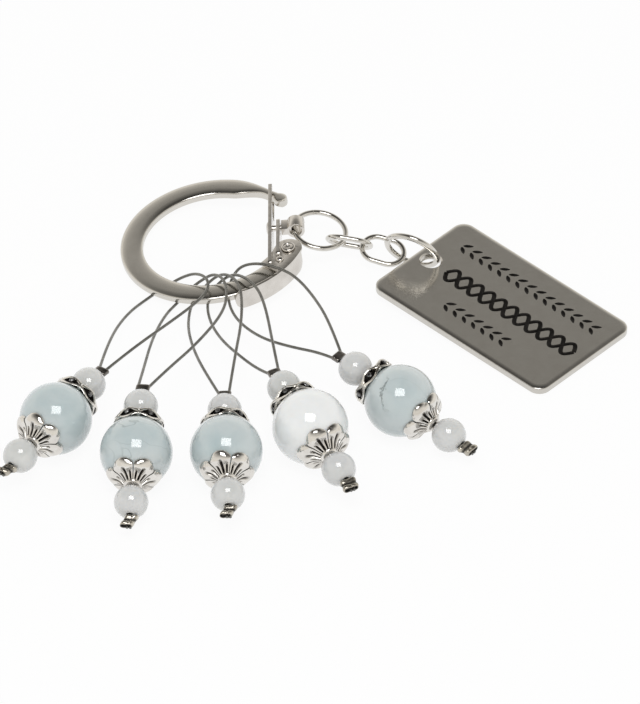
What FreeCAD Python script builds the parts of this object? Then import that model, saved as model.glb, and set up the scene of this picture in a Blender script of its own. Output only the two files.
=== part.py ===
import FreeCAD, Part
import math
import os

# Stitch marker set: five beaded markers whose cable loops hang on a clasp ring, with a short
# chain and a tag. Everything lies on the floor plane z = 0. +X is right, +Y is away from the
# front, +Z is up. All lengths are millimetres and all angles are degrees.

V = FreeCAD.Vector

# ---------------------------------------------------------------- driving dimensions

# clasp ring: a flat band bent to a C, lying on its left edge and rising toward the clasp
hoop_centre = V(-17.25, 28.60, 2.86)
hoop_tilt = 7.4
hoop_r = 15.55            # outer radius
band_w = 3.8              # width of the band in the ring's plane
band_t = 1.7              # thickness of the band
band_round = 0.55         # rounding of the band's edges
taper_from = 75.0         # the band narrows to its neck between these two angles
taper_to = 49.0
neck_w = 1.4
neck_inset = 1.3          # outer radius to the middle of the neck
knob_r = 1.15
knob_inset = 0.96         # outer radius to the middle of the knob
knob_neck_round = 0.3

# lever that closes the ring: a fork, an ear, a flange over the lug and a tail along the rim
lug_r = 1.65
lug_angle = -22.0
lug_join = 14.0           # the lug blends into the band over this angle
sheet_t = 0.6
blade_offset = 3.04       # pivot to the middle of the blade, across the ring
blade_back = 9.2          # length of the blade behind the ring's middle
blade_front = 11.6        # length of the blade ahead of the ring's middle
blade_over = 1.05         # blade's upper edge above the band's face
blade_under = 0.95        # blade's lower edge below the band's face
slot_play = 0.25          # band's face to the slot's edge
slot_start = 4.4
wall_drop_at = -2.5       # the walls reach down only ahead of this place
wall_round = 0.6          # corners of the blade and the ear
prong_round = 0.4
mouth_round = 0.25        # where the slot opens
slot_end_round = 0.95     # rounding of the slot's end, as a share of its half width
foot_run = 1.2            # slope of the blade's foot
ear_foot_run = 0.6
ear_foot_round = 0.2
ear_gap = 0.75            # blade to ear
ear_stud_gap = 0.17       # ear's back edge to the stud's dome
ear_front = 2.4
ear_drop = 1.0            # ear's lower edge below the middle plane
ear_round = 0.8
run_gap = 0.05            # running clearance of the lever and of the turning rivets
rim_gap = 0.10            # band's rim to the tail
flange_t = 0.45
flange_angle = -45.0
flange_join = 8.0         # flange's straight inner edge ends this far past the lug
tail_t = 0.55
tail_angle = -76.0
tail_drop = 2.2           # tail's lower edge below the middle plane
tail_round = 1.6
knob_gap = 0.10

# rivets and stud
pivot_shank_r = 0.8
pivot_head_r = 1.2
pivot_head_h = 0.45
pivot_dimple_r = 0.55
pivot_dimple_depth = 0.367
stud_r = 0.7
stud_shank_r = 0.4
stud_h = 0.4
stud_angle = -34.5
swivel_shank_r = 0.5
swivel_head_r = 1.2
swivel_head_h = 0.45
swivel_ahead = 1.6        # swivel axis ahead of the ring's middle
swivel_up = 0.2           # and above its middle plane

# strap curled round the first chain ring
strap_w = 2.4
strap_t = 0.45
strap_bore_r = 1.05
strap_reach = 2.5         # ear to the curl's axis
strap_gap = 0.10          # ear to strap
tang_t = 1.3

# chain: centreline sizes, the way to the next piece's middle, and how far neighbours overlap
ring_a_r = 4.38
ring_a_wire = 0.9
ring_a_way = V(4.02, -0.36, -0.61)
ring_a_normal = V(0.143, -0.056, 0.989)
ring_a_slack = 0.30       # curl's axis to the wire's middle
link_wire = 0.9
link_b_size = (7.2, 4.9)
link_b_way = V(4.93, -1.73, -1.10)
link_b_along = V(0.98, -0.10, -0.14)
link_b_normal = V(0.168, 0.788, 0.592)
link_b_overlap = 2.64
link_c_size = (7.1, 5.1)
link_c_way = V(5.62, -1.70, -0.42)
link_c_along = V(0.928, -0.240, -0.283)
link_c_normal = V(0.069, -0.228, 0.971)
link_c_overlap = 1.26
ring_d_r = 4.4
ring_d_wire = 1.0
ring_d_way = V(4.83, -2.28, 1.91)
ring_d_normal = V(0.349, 0.865, 0.361)
ring_d_overlap = 2.28

# tag
tag_l = 38.0
tag_w = 23.0
tag_t = 1.5
tag_corner = 2.2
tag_rim_round = 0.45
tag_heading = -42.7
tag_lift = 1.45           # underside above the floor at the hole, where ring D passes below
tag_hole_r = 1.7
tag_hole_in = 3.1         # hole's middle to the near short edge
tag_way = V(3.10, -0.45, 0.0)
tag_hang = 3.13           # ring D's middle to the hole, in plan

# beads of a marker, on one axis
large_bead_r = 6.0
plain_bead_r = 6.3        # the fourth marker's bead
small_bead_r = 2.85
bore_r = 0.6
seat_gap = 0.05           # between neighbours on the cable
rondelle_r = 4.05
rondelle_h = 0.65         # hub height
rondelle_plate = 0.25
rondelle_rim_h = 2.0      # rim height
rondelle_hub_r = 2.2
stone_count = 6
stone_seat_r = 3.5        # axis to the back of a stone
stone_out_r = 4.12        # axis to the front of a stone
stone_play = 0.02
stone_crown = 0.55        # height of a stone's crown, as a share of its radius
stone_table = 0.5         # radius of its flat front, as a share of its radius
prong_r = 0.35
prong_inset = 0.455       # rim to the middle of a prong
prong_root = 0.4          # prong's end inside the lower plate
prong_bite = 0.1          # prong's end inside the upper plate
cap_petals = 6
cap_crown = 1.35          # height of the cap over the bead
cap_tip_r = 1.55
cap_tip_out = 3.25        # axis to the middle of a petal's tip
cap_proud = 0.75          # tip's height over the bead
cap_root_r = 0.95
cap_root_out = 1.1
cap_hub_r = 1.48

# crimps
crimp_w = 3.0
crimp_t = 1.05
crimp_h = 1.4
crimp_corner = 0.45
crimp_edge = 0.18
loop_hold = 0.84          # loop's ends above the top crimp's lower edge
strand_hold = 0.42        # straight strands' ends above the same edge
end_crimp_t = 1.4
end_crimp_h = 2.1
end_crimp_corner = 0.6
end_crimp_gap = 0.05
crease_r = 0.45
crease_depth = 0.22

# cable
cable_d = 0.5
strand_side = 0.27        # axis to each strand in the bores
strand_tail = 0.35        # strand past the end crimp

# markers: large bead's middle in plan, heading and dip of the axis toward the end crimp,
# turn of the beads about the axis, and the loop's spread where it leaves the top crimp
markers = (
    {"at": (-42.64, -20.39), "heading": -123.40, "dip": 3.3, "turn": 22.0, "spread": 0.45},
    {"at": (-29.36, -28.80), "heading": -94.10, "dip": 11.2, "turn": 1.0, "spread": 0.80},
    {"at": (-14.66, -28.45), "heading": -88.20, "dip": 2.8, "turn": 11.0, "spread": 0.75},
    {"at": (-0.91, -22.78), "heading": -64.05, "dip": 5.0, "turn": 2.0, "spread": 0.80},
    {"at": (13.87, -15.90), "heading": -38.30, "dip": 11.7, "turn": -2.0, "spread": 0.85},
)
plain_marker = 4

# each loop's route between its two ends in the top crimp: under the band and back over it
loop_routes = (
    ((-34.4, 0.3, 4.9), (-31.6, 10.6, 2.1), (-27.6, 17.4, 0.3), (-24.3, 20.2, 0.7),
     (-22.2, 20.0, 2.4), (-20.0, 18.6, 4.4), (-18.1, 16.4, 5.3), (-17.8, 13.7, 5.0),
     (-19.9, 9.9, 5.2), (-24.3, 4.0, 5.9), (-30.4, -3.5, 6.6)),
    ((-28.4, -9.7, 7.4), (-27.1, 1.8, 4.3), (-25.1, 10.8, 1.8), (-23.0, 15.5, 0.6),
     (-20.9, 18.5, 1.1), (-19.0, 19.2, 2.4), (-17.2, 18.5, 4.3), (-15.6, 16.4, 5.4),
     (-14.7, 13.0, 5.6), (-15.2, 6.8, 5.9), (-19.7, -3.2, 7.4), (-24.7, -10.9, 8.2)),
    ((-17.9, -9.8, 6.2), (-20.0, -2.2, 4.6), (-21.2, 5.6, 2.8), (-21.1, 11.6, 1.5),
     (-20.4, 15.7, 0.9), (-18.6, 18.7, 1.3), (-16.8, 19.4, 2.9), (-15.1, 18.0, 4.8),
     (-13.3, 15.3, 5.8), (-12.3, 11.5, 6.0), (-12.3, 3.9, 6.1), (-13.4, -5.9, 6.8)),
    ((-9.4, -8.8, 6.6), (-12.4, -4.2, 5.5), (-15.6, 2.2, 3.6), (-17.6, 8.5, 2.2),
     (-18.2, 14.6, 1.2), (-17.1, 17.7, 1.6), (-15.5, 18.8, 2.9), (-13.6, 18.2, 4.6),
     (-11.3, 15.1, 6.1), (-9.4, 11.6, 6.5), (-8.2, 6.0, 6.8), (-7.2, -2.3, 7.3)),
    ((0.9, -6.4, 8.2), (-4.2, -3.3, 6.9), (-8.8, 0.9, 5.1), (-12.4, 6.5, 3.4),
     (-14.3, 12.2, 2.0), (-14.7, 17.2, 1.7), (-13.8, 19.9, 2.9), (-12.3, 20.6, 4.4),
     (-9.5, 19.4, 5.9), (-6.3, 17.3, 6.7), (-3.4, 14.2, 7.4), (-0.5, 8.8, 7.8),
     (2.2, 0.9, 8.9)),
)

# ---------------------------------------------------------------- derived places

X_AXIS = V(1, 0, 0)
Y_AXIS = V(0, 1, 0)
Z_AXIS = V(0, 0, 1)
ORIGIN = V(0, 0, 0)

band_mid_r = hoop_r - band_w / 2
band_in_r = hoop_r - band_w
face_z = band_t / 2
pivot_ring_r = hoop_r - lug_r
flange_z = face_z + run_gap
flange_top = flange_z + flange_t
tail_in_r = hoop_r + rim_gap
tail_out_r = tail_in_r + tail_t
wall_top = face_z + blade_over
wall_bottom = -face_z - blade_under


def polar(radius, angle):
    """Point in the ring's plane at a radius and an angle from +X."""
    return V(radius * math.cos(math.radians(angle)), radius * math.sin(math.radians(angle)), 0)


pivot = polar(pivot_ring_r, lug_angle)
stud = polar(pivot_ring_r, stud_angle)
ear_back = -stud.y - stud_r - ear_stud_gap
blade_left = pivot.x - blade_offset - sheet_t / 2
blade_right = blade_left + sheet_t
ear_left = blade_right + ear_gap
ear_right = ear_left + sheet_t
curl_x = ear_right + strap_reach
curl_out_r = strap_bore_r + strap_t

hoop_place = FreeCAD.Placement(hoop_centre, FreeCAD.Rotation(Y_AXIS, -hoop_tilt))
curl_centre = hoop_place.multVec(V(curl_x, swivel_ahead, swivel_up))


def scaled(vector, length):
    """The vector's direction at a given length."""
    return V(vector).normalize() * length


ring_a_centre = curl_centre + scaled(ring_a_way, ring_a_r - ring_a_slack)
link_b_centre = ring_a_centre + scaled(link_b_way, ring_a_r + link_b_size[0] / 2 - link_b_overlap)
link_c_centre = link_b_centre + scaled(
    link_c_way, link_b_size[0] / 2 + link_c_size[0] / 2 - link_c_overlap)
ring_d_centre = link_c_centre + scaled(ring_d_way, link_c_size[0] / 2 + ring_d_r - ring_d_overlap)

tag_tilt = math.degrees(math.asin(tag_lift / (tag_l - tag_hole_in)))
tag_turn = FreeCAD.Rotation(Z_AXIS, tag_heading).multiply(FreeCAD.Rotation(Y_AXIS, tag_tilt))
tag_hole = ring_d_centre + scaled(tag_way, tag_hang)
tag_hole.z = tag_lift


# ---------------------------------------------------------------- helpers

def rounded_wire(corners):
    """Closed wire in the XY plane through (x, y, corner radius) points."""
    edges = []
    count = len(corners)
    starts = []
    ends = []
    mids = []
    for k, (x, y, radius) in enumerate(corners):
        here = V(x, y, 0)
        before = V(corners[k - 1][0], corners[k - 1][1], 0) - here
        after = V(corners[(k + 1) % count][0], corners[(k + 1) % count][1], 0) - here
        half = before.getAngle(after) / 2
        cut = radius / math.tan(half)
        bisector = (V(before).normalize() + V(after).normalize()).normalize()
        starts.append(here + scaled(before, cut) if radius else here)
        ends.append(here + scaled(after, cut) if radius else here)
        mids.append(here + bisector * (radius / math.sin(half) - radius))
    for k, corner in enumerate(corners):
        if corner[2]:
            edges.append(Part.Arc(starts[k], mids[k], ends[k]).toShape())
        following = starts[(k + 1) % count]
        if ends[k].distanceToPoint(following) > 1e-6:
            edges.append(Part.LineSegment(ends[k], following).toShape())
    return Part.Wire(edges)


def slab(corners, bottom, top):
    """Flat plate of a rounded outline between two heights."""
    face = Part.Face(rounded_wire(corners))
    plate = face.extrude(V(0, 0, top - bottom))
    plate.translate(V(0, 0, bottom))
    return plate


def wall(corners, left, right):
    """Upright plate: the outline is in (y, z) and the thickness is along x."""
    plate = slab(corners, 0, right - left)
    plate.Placement = FreeCAD.Placement(V(left, 0, 0), FreeCAD.Rotation(Y_AXIS, Z_AXIS, X_AXIS, "ZXY"))
    return plate


def rod(radius, start, end):
    """Round bar between two points."""
    return Part.makeCylinder(radius, start.distanceToPoint(end), start, end - start)


def dome(radius, height, base, direction):
    """Low spherical dome on a flat base."""
    ball_r = (radius ** 2 + height ** 2) / (2 * height)
    centre = base - scaled(direction, ball_r - height)
    ball = Part.makeSphere(ball_r, centre)
    return ball.common(rod(radius * 1.5, base, base + scaled(direction, height * 1.5)))


def level_edges(shape, heights):
    """Edges that lie flat at one of the given heights."""
    found = []
    for edge in shape.Edges:
        box = edge.BoundBox
        if box.ZLength < 1e-4 and any(abs(box.ZMin - height) < 1e-4 for height in heights):
            found.append(edge)
    return found


def straight_up_edges(shape, places):
    """Upright edges that pass within a hair of the given plan points."""
    found = []
    for edge in shape.Edges:
        box = edge.BoundBox
        plan = V(box.Center.x, box.Center.y, 0)
        upright = box.XLength < 1e-4 and box.YLength < 1e-4
        if upright and any(plan.distanceToPoint(place) < 1e-3 for place in places):
            found.append(edge)
    return found


# ---------------------------------------------------------------- clasp ring

def make_hoop():
    """C-shaped band with a lug at one end and a neck and knob at the other."""
    steps = 6
    outer_points = []
    inner_points = []
    for k in range(steps + 1):
        share = k / steps
        ease = share * share * (3 - 2 * share)
        angle = taper_from + (taper_to - taper_from) * share
        middle = band_mid_r + (hoop_r - neck_inset - band_mid_r) * ease
        width = band_w + (neck_w - band_w) * ease
        outer_points.append(polar(middle + width / 2, angle))
        inner_points.append(polar(middle - width / 2, angle))
    knob_x = blade_right + knob_gap + knob_r
    knob_ring_r = hoop_r - knob_inset
    knob = V(knob_x, math.sqrt(knob_ring_r ** 2 - knob_x ** 2), 0)
    neck_end = (outer_points[-1] + inner_points[-1]) / 2
    toward = neck_end - knob
    toward_angle = math.degrees(math.atan2(toward.y, toward.x))
    spread = math.degrees(math.asin(neck_w / 2 / knob_r))
    knob_outer = knob + polar(knob_r, toward_angle - spread)
    knob_inner = knob + polar(knob_r, toward_angle + spread)

    outer_taper = Part.BSplineCurve()
    outer_taper.interpolate(outer_points)
    inner_taper = Part.BSplineCurve()
    inner_taper.interpolate(inner_points)

    lug_out = polar(hoop_r, lug_angle)
    lug_in = polar(pivot_ring_r - lug_r, lug_angle)
    lug_side = pivot + polar(lug_r, lug_angle + 90)
    half_way = (taper_from + 360 + lug_angle) / 2
    join_angle = lug_angle - lug_join
    lug_blend = Part.BSplineCurve()
    lug_blend.interpolate([lug_in, polar(band_in_r, join_angle)],
                          InitialTangent=polar(1, lug_angle - 90),
                          FinalTangent=polar(1, join_angle - 90))
    edges = [
        Part.Arc(polar(hoop_r, taper_from), polar(hoop_r, half_way), lug_out).toShape(),
        Part.Arc(lug_out, lug_side, lug_in).toShape(),
        lug_blend.toShape(),
        Part.Arc(polar(band_in_r, join_angle), polar(band_in_r, half_way),
                 polar(band_in_r, taper_from)).toShape(),
        inner_taper.toShape(),
        Part.LineSegment(inner_points[-1], knob_inner).toShape(),
        Part.Arc(knob_inner, knob - scaled(toward, knob_r), knob_outer).toShape(),
        Part.LineSegment(knob_outer, outer_points[-1]).toShape(),
        outer_taper.toShape(),
    ]
    face = Part.Face(Part.Wire(Part.__sortEdges__(edges)))
    band = face.extrude(V(0, 0, band_t))
    band.translate(V(0, 0, -face_z))
    band = band.makeFillet(knob_neck_round, straight_up_edges(band, (knob_outer, knob_inner)))
    band = band.makeFillet(band_round, level_edges(band, (-face_z, face_z)))
    hole = rod(pivot_shank_r, pivot - V(0, 0, band_t), pivot + V(0, 0, band_t))
    return band.cut(hole)


def make_gate_lever():
    """Sheet lever: forked blade and ear on a flange over the lug, with a tail along the rim."""
    slot_z = face_z + slot_play
    foot = wall_drop_at - foot_run
    slot_end = slot_z * slot_end_round
    blade = wall([
        (-blade_back, flange_z, 0),
        (-blade_back, wall_top, wall_round),
        (blade_front, wall_top, prong_round),
        (blade_front, slot_z, mouth_round),
        (slot_start, slot_z, slot_end),
        (slot_start, -slot_z, slot_end),
        (blade_front, -slot_z, mouth_round),
        (blade_front, wall_bottom, prong_round),
        (wall_drop_at, wall_bottom, wall_round),
        (foot, flange_z, prong_round),
    ], blade_left, blade_right)
    ear = wall([
        (-ear_back, flange_z, 0),
        (-ear_back, wall_top, wall_round),
        (ear_front, wall_top, ear_round),
        (ear_front, -ear_drop, ear_round),
        (wall_drop_at, -ear_drop, prong_round),
        (wall_drop_at - ear_foot_run, flange_z, ear_foot_round),
    ], ear_left, ear_right)
    flange_r = tail_out_r - pivot_ring_r
    inner_angle = lug_angle - flange_join
    flange_edges = [
        Part.LineSegment(polar(band_in_r, flange_angle), polar(tail_out_r, flange_angle)).toShape(),
        Part.Arc(polar(tail_out_r, flange_angle), polar(tail_out_r, (flange_angle + lug_angle) / 2),
                 polar(tail_out_r, lug_angle)).toShape(),
        Part.Arc(polar(tail_out_r, lug_angle), pivot + polar(flange_r, lug_angle + 90),
                 polar(pivot_ring_r - flange_r, lug_angle)).toShape(),
        Part.LineSegment(polar(pivot_ring_r - flange_r, lug_angle),
                         polar(band_in_r, inner_angle)).toShape(),
        Part.Arc(polar(band_in_r, inner_angle),
                 polar(band_in_r, (flange_angle + inner_angle) / 2),
                 polar(band_in_r, flange_angle)).toShape(),
    ]
    flange = Part.Face(Part.Wire(flange_edges)).extrude(V(0, 0, flange_t))
    flange.translate(V(0, 0, flange_z))
    tail_h = flange_top + tail_drop
    tail_face = Part.Face(Part.Wire([
        Part.LineSegment(polar(tail_in_r, tail_angle), polar(tail_out_r, tail_angle)).toShape(),
        Part.Arc(polar(tail_out_r, tail_angle), polar(tail_out_r, (tail_angle + lug_angle) / 2),
                 polar(tail_out_r, lug_angle)).toShape(),
        Part.LineSegment(polar(tail_out_r, lug_angle), polar(tail_in_r, lug_angle)).toShape(),
        Part.Arc(polar(tail_in_r, lug_angle), polar(tail_in_r, (tail_angle + lug_angle) / 2),
                 polar(tail_in_r, tail_angle)).toShape(),
    ]))
    tail = tail_face.extrude(V(0, 0, tail_h))
    tail.translate(V(0, 0, -tail_drop))
    tail_mid_r = (tail_in_r + tail_out_r) / 2
    rounded = []
    for edge in level_edges(tail, (-tail_drop, flange_top)):
        middle = edge.CenterOfMass
        plan = V(middle.x, middle.y, 0)
        at_free_end = plan.distanceToPoint(polar(tail_mid_r, tail_angle)) < tail_t / 2
        below_lug = middle.z < 0 and plan.distanceToPoint(polar(tail_mid_r, lug_angle)) < tail_t / 2
        if at_free_end or below_lug:
            rounded.append(edge)
    tail = tail.makeFillet(tail_round, rounded)
    lever = blade.fuse([ear, flange, tail])
    holes = [
        rod(pivot_shank_r + run_gap, pivot, pivot + V(0, 0, flange_top * 2)),
        rod(stud_shank_r, stud, stud + V(0, 0, flange_top * 2)),
        rod(swivel_shank_r + run_gap, V(blade_left - 1, swivel_ahead, swivel_up),
            V(ear_right + 1, swivel_ahead, swivel_up)),
    ]
    return lever.cut(holes).removeSplitter()


def make_pivot_rivet():
    """Swaged rivet: fixed in the lug, its dimpled head over the lever's flange."""
    head_base = pivot + V(0, 0, flange_top + run_gap)
    head = dome(pivot_head_r, pivot_head_h, head_base, Z_AXIS)
    shank = rod(pivot_shank_r, pivot - V(0, 0, face_z), head_base + V(0, 0, pivot_head_h / 4))
    foot = dome(pivot_head_r, pivot_head_h, pivot - V(0, 0, face_z), -Z_AXIS)
    dimple_z = pivot_head_h + pivot_dimple_r - pivot_dimple_depth
    dimple = Part.makeSphere(pivot_dimple_r, head_base + V(0, 0, dimple_z))
    return shank.fuse([head, foot]).cut(dimple)


def make_detent_stud():
    """Small domed stud riveted in the lever's flange."""
    head_base = stud + V(0, 0, flange_top)
    shank = rod(stud_shank_r, stud + V(0, 0, flange_z), head_base + V(0, 0, stud_h / 4))
    return shank.fuse(dome(stud_r, stud_h, head_base, Z_AXIS))


def swivel_point(x):
    """Point on the swivel's axis."""
    return V(x, swivel_ahead, swivel_up)


def make_swivel_rivet():
    """Rivet through blade and ear, fixed in the strap's tang."""
    base = swivel_point(blade_left - run_gap)
    head = dome(swivel_head_r, swivel_head_h, base, -X_AXIS)
    shank_end = curl_x - curl_out_r
    shank = rod(swivel_shank_r, base - V(swivel_head_h / 4, 0, 0), swivel_point(shank_end))
    return head.fuse(shank)


def make_swivel_strap():
    """Strap curled round the first chain ring, its two ends pressed into a tang."""
    half_w = strap_w / 2
    start = V(curl_x, swivel_ahead - half_w, swivel_up)
    end = V(curl_x, swivel_ahead + half_w, swivel_up)
    tang_left = ear_right + strap_gap
    tang_depth = curl_x - tang_left
    tang = Part.makeBox(tang_depth, strap_w, tang_t,
                        V(tang_left, swivel_ahead - half_w, swivel_up - tang_t / 2))
    strap = rod(curl_out_r, start, end).fuse(tang)
    bore = rod(strap_bore_r, start - Y_AXIS, end + Y_AXIS)
    shank = rod(swivel_shank_r, swivel_point(tang_left - 1), swivel_point(curl_x - curl_out_r))
    return strap.cut([bore, shank]).removeSplitter()


# ---------------------------------------------------------------- chain and tag

def make_ring(radius, wire, centre, normal):
    """Round jump ring."""
    return Part.makeTorus(radius, wire / 2, centre, normal)


def make_oval(size, wire, centre, along, normal):
    """Oval link: two half rings joined by straight sides."""
    length, width = size
    bend_r = width / 2
    straight = length - width
    right = Part.makeTorus(bend_r, wire / 2, ORIGIN, Z_AXIS, -180, 180, 180)
    right.rotate(ORIGIN, Z_AXIS, -90)
    left = right.copy()
    left.rotate(ORIGIN, Z_AXIS, 180)
    right.translate(V(straight / 2, 0, 0))
    left.translate(V(-straight / 2, 0, 0))
    sides = [rod(wire / 2, V(-straight / 2, y, 0), V(straight / 2, y, 0))
             for y in (-bend_r, bend_r)]
    link = right.fuse([left] + sides).removeSplitter()
    turn = FreeCAD.Rotation(along, normal.cross(along), normal, "ZXY")
    link.Placement = FreeCAD.Placement(centre, turn)
    return link


def make_tag():
    """Rectangular plate with rounded corners and rim, and a hole near one short edge."""
    right = tag_l - tag_hole_in
    left = -tag_hole_in
    half = tag_w / 2
    plate = slab([(left, -half, tag_corner), (right, -half, tag_corner),
                  (right, half, tag_corner), (left, half, tag_corner)], 0, tag_t)
    plate = plate.makeFillet(tag_rim_round, level_edges(plate, (0, tag_t)))
    plate = plate.cut(rod(tag_hole_r, V(0, 0, -tag_t), V(0, 0, 2 * tag_t)))
    plate.Placement = FreeCAD.Placement(tag_hole, tag_turn)
    return plate


# ---------------------------------------------------------------- cable

def cable_tube(name, points):
    """Tube along straight runs joined by tangent arcs; prints its length and radii."""
    edges = []
    radii = []
    start = points[0]
    for before, here, after in zip(points, points[1:], points[2:]):
        back = before - here
        ahead = after - here
        turn = math.pi - back.getAngle(ahead)
        cut = 0.45 * min(back.Length, ahead.Length)
        radius = cut / math.tan(turn / 2)
        bisector = (V(back).normalize() + V(ahead).normalize()).normalize()
        middle = here + bisector * (radius / math.cos(turn / 2) - radius)
        arc_start = here + scaled(back, cut)
        arc_end = here + scaled(ahead, cut)
        edges.append(Part.LineSegment(start, arc_start).toShape())
        edges.append(Part.Arc(arc_start, middle, arc_end).toShape())
        radii.append(round(radius, 1))
        start = arc_end
    edges.append(Part.LineSegment(start, points[-1]).toShape())
    path = Part.Wire(edges)
    profile = Part.Wire(Part.makeCircle(cable_d / 2, points[0], points[1] - points[0]))
    tube = path.makePipeShell([profile], True, False)
    expected = math.pi * cable_d ** 2 / 4 * path.Length
    print(name, "length", round(path.Length, 1), "volume ratio", round(tube.Volume / expected, 4),
          "radii", radii)
    return tube


# ---------------------------------------------------------------- markers

def stations(bead_r):
    """Places along a marker's axis, from the large bead's middle toward the loop."""
    top_bead = bead_r + seat_gap + rondelle_h + seat_gap + small_bead_r
    top_crimp = top_bead + small_bead_r + seat_gap
    bottom_bead = -(bead_r + cap_crown + seat_gap * 2 + small_bead_r)
    end_crimp = bottom_bead - small_bead_r - end_crimp_gap
    return {"top_bead": top_bead, "top_crimp": top_crimp, "bottom_bead": bottom_bead,
            "end_crimp": end_crimp}


def make_bead(radius, station):
    """Round bead with a bore along the axis."""
    bead = Part.makeSphere(radius, V(0, 0, station))
    return bead.cut(rod(bore_r, V(0, 0, station - radius * 1.1), V(0, 0, station + radius * 1.1)))


def rondelle_levels(bead_r):
    """Rim heights of the spacer, which dips to follow the bead, and its stones' middle."""
    hug_r = bead_r + seat_gap
    rim_bottom = math.sqrt(hug_r ** 2 - rondelle_r ** 2)
    rim_top = rim_bottom + rondelle_rim_h
    floor_z = math.sqrt((hug_r + rondelle_plate) ** 2 - stone_seat_r ** 2)
    roof_z = rim_top - rondelle_plate
    return hug_r, rim_top, floor_z, roof_z


def make_rondelle_frame(bead_r):
    """Spacer: a plate that follows the bead, a flat plate over it, a hub and pinched rim."""
    hug_r, rim_top, floor_z, roof_z = rondelle_levels(bead_r)
    top = hug_r + rondelle_h
    cone_h = top - rim_top
    body = Part.makeCylinder(rondelle_r, rim_top, ORIGIN, Z_AXIS)
    body = body.fuse(Part.makeCone(rondelle_r, rondelle_hub_r, cone_h, V(0, 0, rim_top), Z_AXIS))
    groove = Part.makeCylinder(rondelle_r * 2, roof_z, ORIGIN, Z_AXIS)
    groove = groove.cut(Part.makeCylinder(rondelle_hub_r, roof_z * 2, ORIGIN, Z_AXIS))
    groove = groove.cut(Part.makeSphere(hug_r + rondelle_plate))
    body = body.cut([groove, Part.makeSphere(hug_r)])
    prongs = []
    for k in range(stone_count):
        place = polar(rondelle_r - prong_inset, (k + 0.5) * 360 / stone_count)
        post = rod(prong_r, place + V(0, 0, floor_z - prong_root),
                   place + V(0, 0, roof_z + prong_bite))
        prongs.append(post.cut(Part.makeSphere(hug_r)))
    body = body.fuse(prongs)
    return body.cut(rod(bore_r, ORIGIN, V(0, 0, top * 2))).removeSplitter()


def make_rondelle_stones(bead_r):
    """Faceted stones round the spacer's rim, as one group of separate solids."""
    floor_z, roof_z = rondelle_levels(bead_r)[2:]
    stone_r = (roof_z - floor_z) / 2 - stone_play
    level = (roof_z + floor_z) / 2
    girdle_r = stone_out_r - stone_r * stone_crown
    stones = []
    for k in range(stone_count):
        angle = k * 360 / stone_count
        outward = polar(1, angle)
        seat = outward * stone_seat_r + V(0, 0, level)
        girdle = outward * girdle_r + V(0, 0, level)
        barrel = rod(stone_r, seat, girdle)
        crown = Part.makeCone(stone_r, stone_r * stone_table, stone_out_r - girdle_r, girdle, outward)
        stones.append(barrel.fuse(crown))
    return Part.makeCompound(stones)


def make_petal(tip, root):
    """Rounded petal: a drop shape turned about the line from its wide tip to its root."""
    way = root - tip
    length = way.Length
    lean = (cap_tip_r - cap_root_r) / length
    rise = math.sqrt(1 - lean ** 2)
    half_lean = math.acos(lean) / 2
    root_mid = V(length + cap_root_r * math.cos(half_lean), cap_root_r * math.sin(half_lean), 0)
    tip_touch = V(cap_tip_r * lean, cap_tip_r * rise, 0)
    root_touch = V(length + cap_root_r * lean, cap_root_r * rise, 0)
    tip_end = V(-cap_tip_r, 0, 0)
    tip_mid = V(-cap_tip_r * math.cos(math.pi / 6), cap_tip_r * math.sin(math.pi / 6), 0)
    root_end = V(length + cap_root_r, 0, 0)
    profile = Part.Wire([
        Part.Arc(tip_end, tip_mid, tip_touch).toShape(),
        Part.LineSegment(tip_touch, root_touch).toShape(),
        Part.Arc(root_touch, root_mid, root_end).toShape(),
        Part.LineSegment(root_end, tip_end).toShape(),
    ])
    petal = Part.Face(profile).revolve(ORIGIN, X_AXIS, 360)
    along = scaled(way, 1)
    side = Z_AXIS.cross(along).normalize()
    petal.Placement = FreeCAD.Placement(tip, FreeCAD.Rotation(along, side, along.cross(side), "XYZ"))
    return petal


def make_bead_cap(bead_r):
    """Petal cap: six rounded petals round a hub, resting on the bead."""
    tip_distance = bead_r + cap_proud - cap_tip_r
    tip_z = -math.sqrt(tip_distance ** 2 - cap_tip_out ** 2)
    root_z = -(bead_r + cap_crown - cap_root_r)
    petals = []
    for k in range(cap_petals):
        outward = polar(1, k * 360 / cap_petals)
        petals.append(make_petal(outward * cap_tip_out + V(0, 0, tip_z),
                                 outward * cap_root_out + V(0, 0, root_z)))
    hub = Part.makeCylinder(cap_hub_r, cap_crown, V(0, 0, -bead_r - cap_crown), Z_AXIS)
    cap = petals[0].fuse(petals[1:] + [hub])
    cap = cap.cut(Part.makeSphere(bead_r + seat_gap))
    return cap.cut(rod(bore_r, V(0, 0, -bead_r * 2), ORIGIN)).removeSplitter()


def make_crimp(thick, corner, bottom, top):
    """Flattened tube round both strands."""
    half_w = crimp_w / 2
    half_t = thick / 2
    crimp = slab([(-half_w, -half_t, corner), (half_w, -half_t, corner),
                  (half_w, half_t, corner), (-half_w, half_t, corner)], bottom, top)
    return crimp.makeFillet(crimp_edge, level_edges(crimp, (bottom, top)))


def crease(crimp, level):
    """Presses a round groove across both broad faces of a crimp."""
    offset = end_crimp_t / 2 + crease_r - crease_depth
    grooves = [rod(crease_r, V(-crimp_w, side * offset, level), V(crimp_w, side * offset, level))
               for side in (-1, 1)]
    return crimp.cut(grooves)


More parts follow.
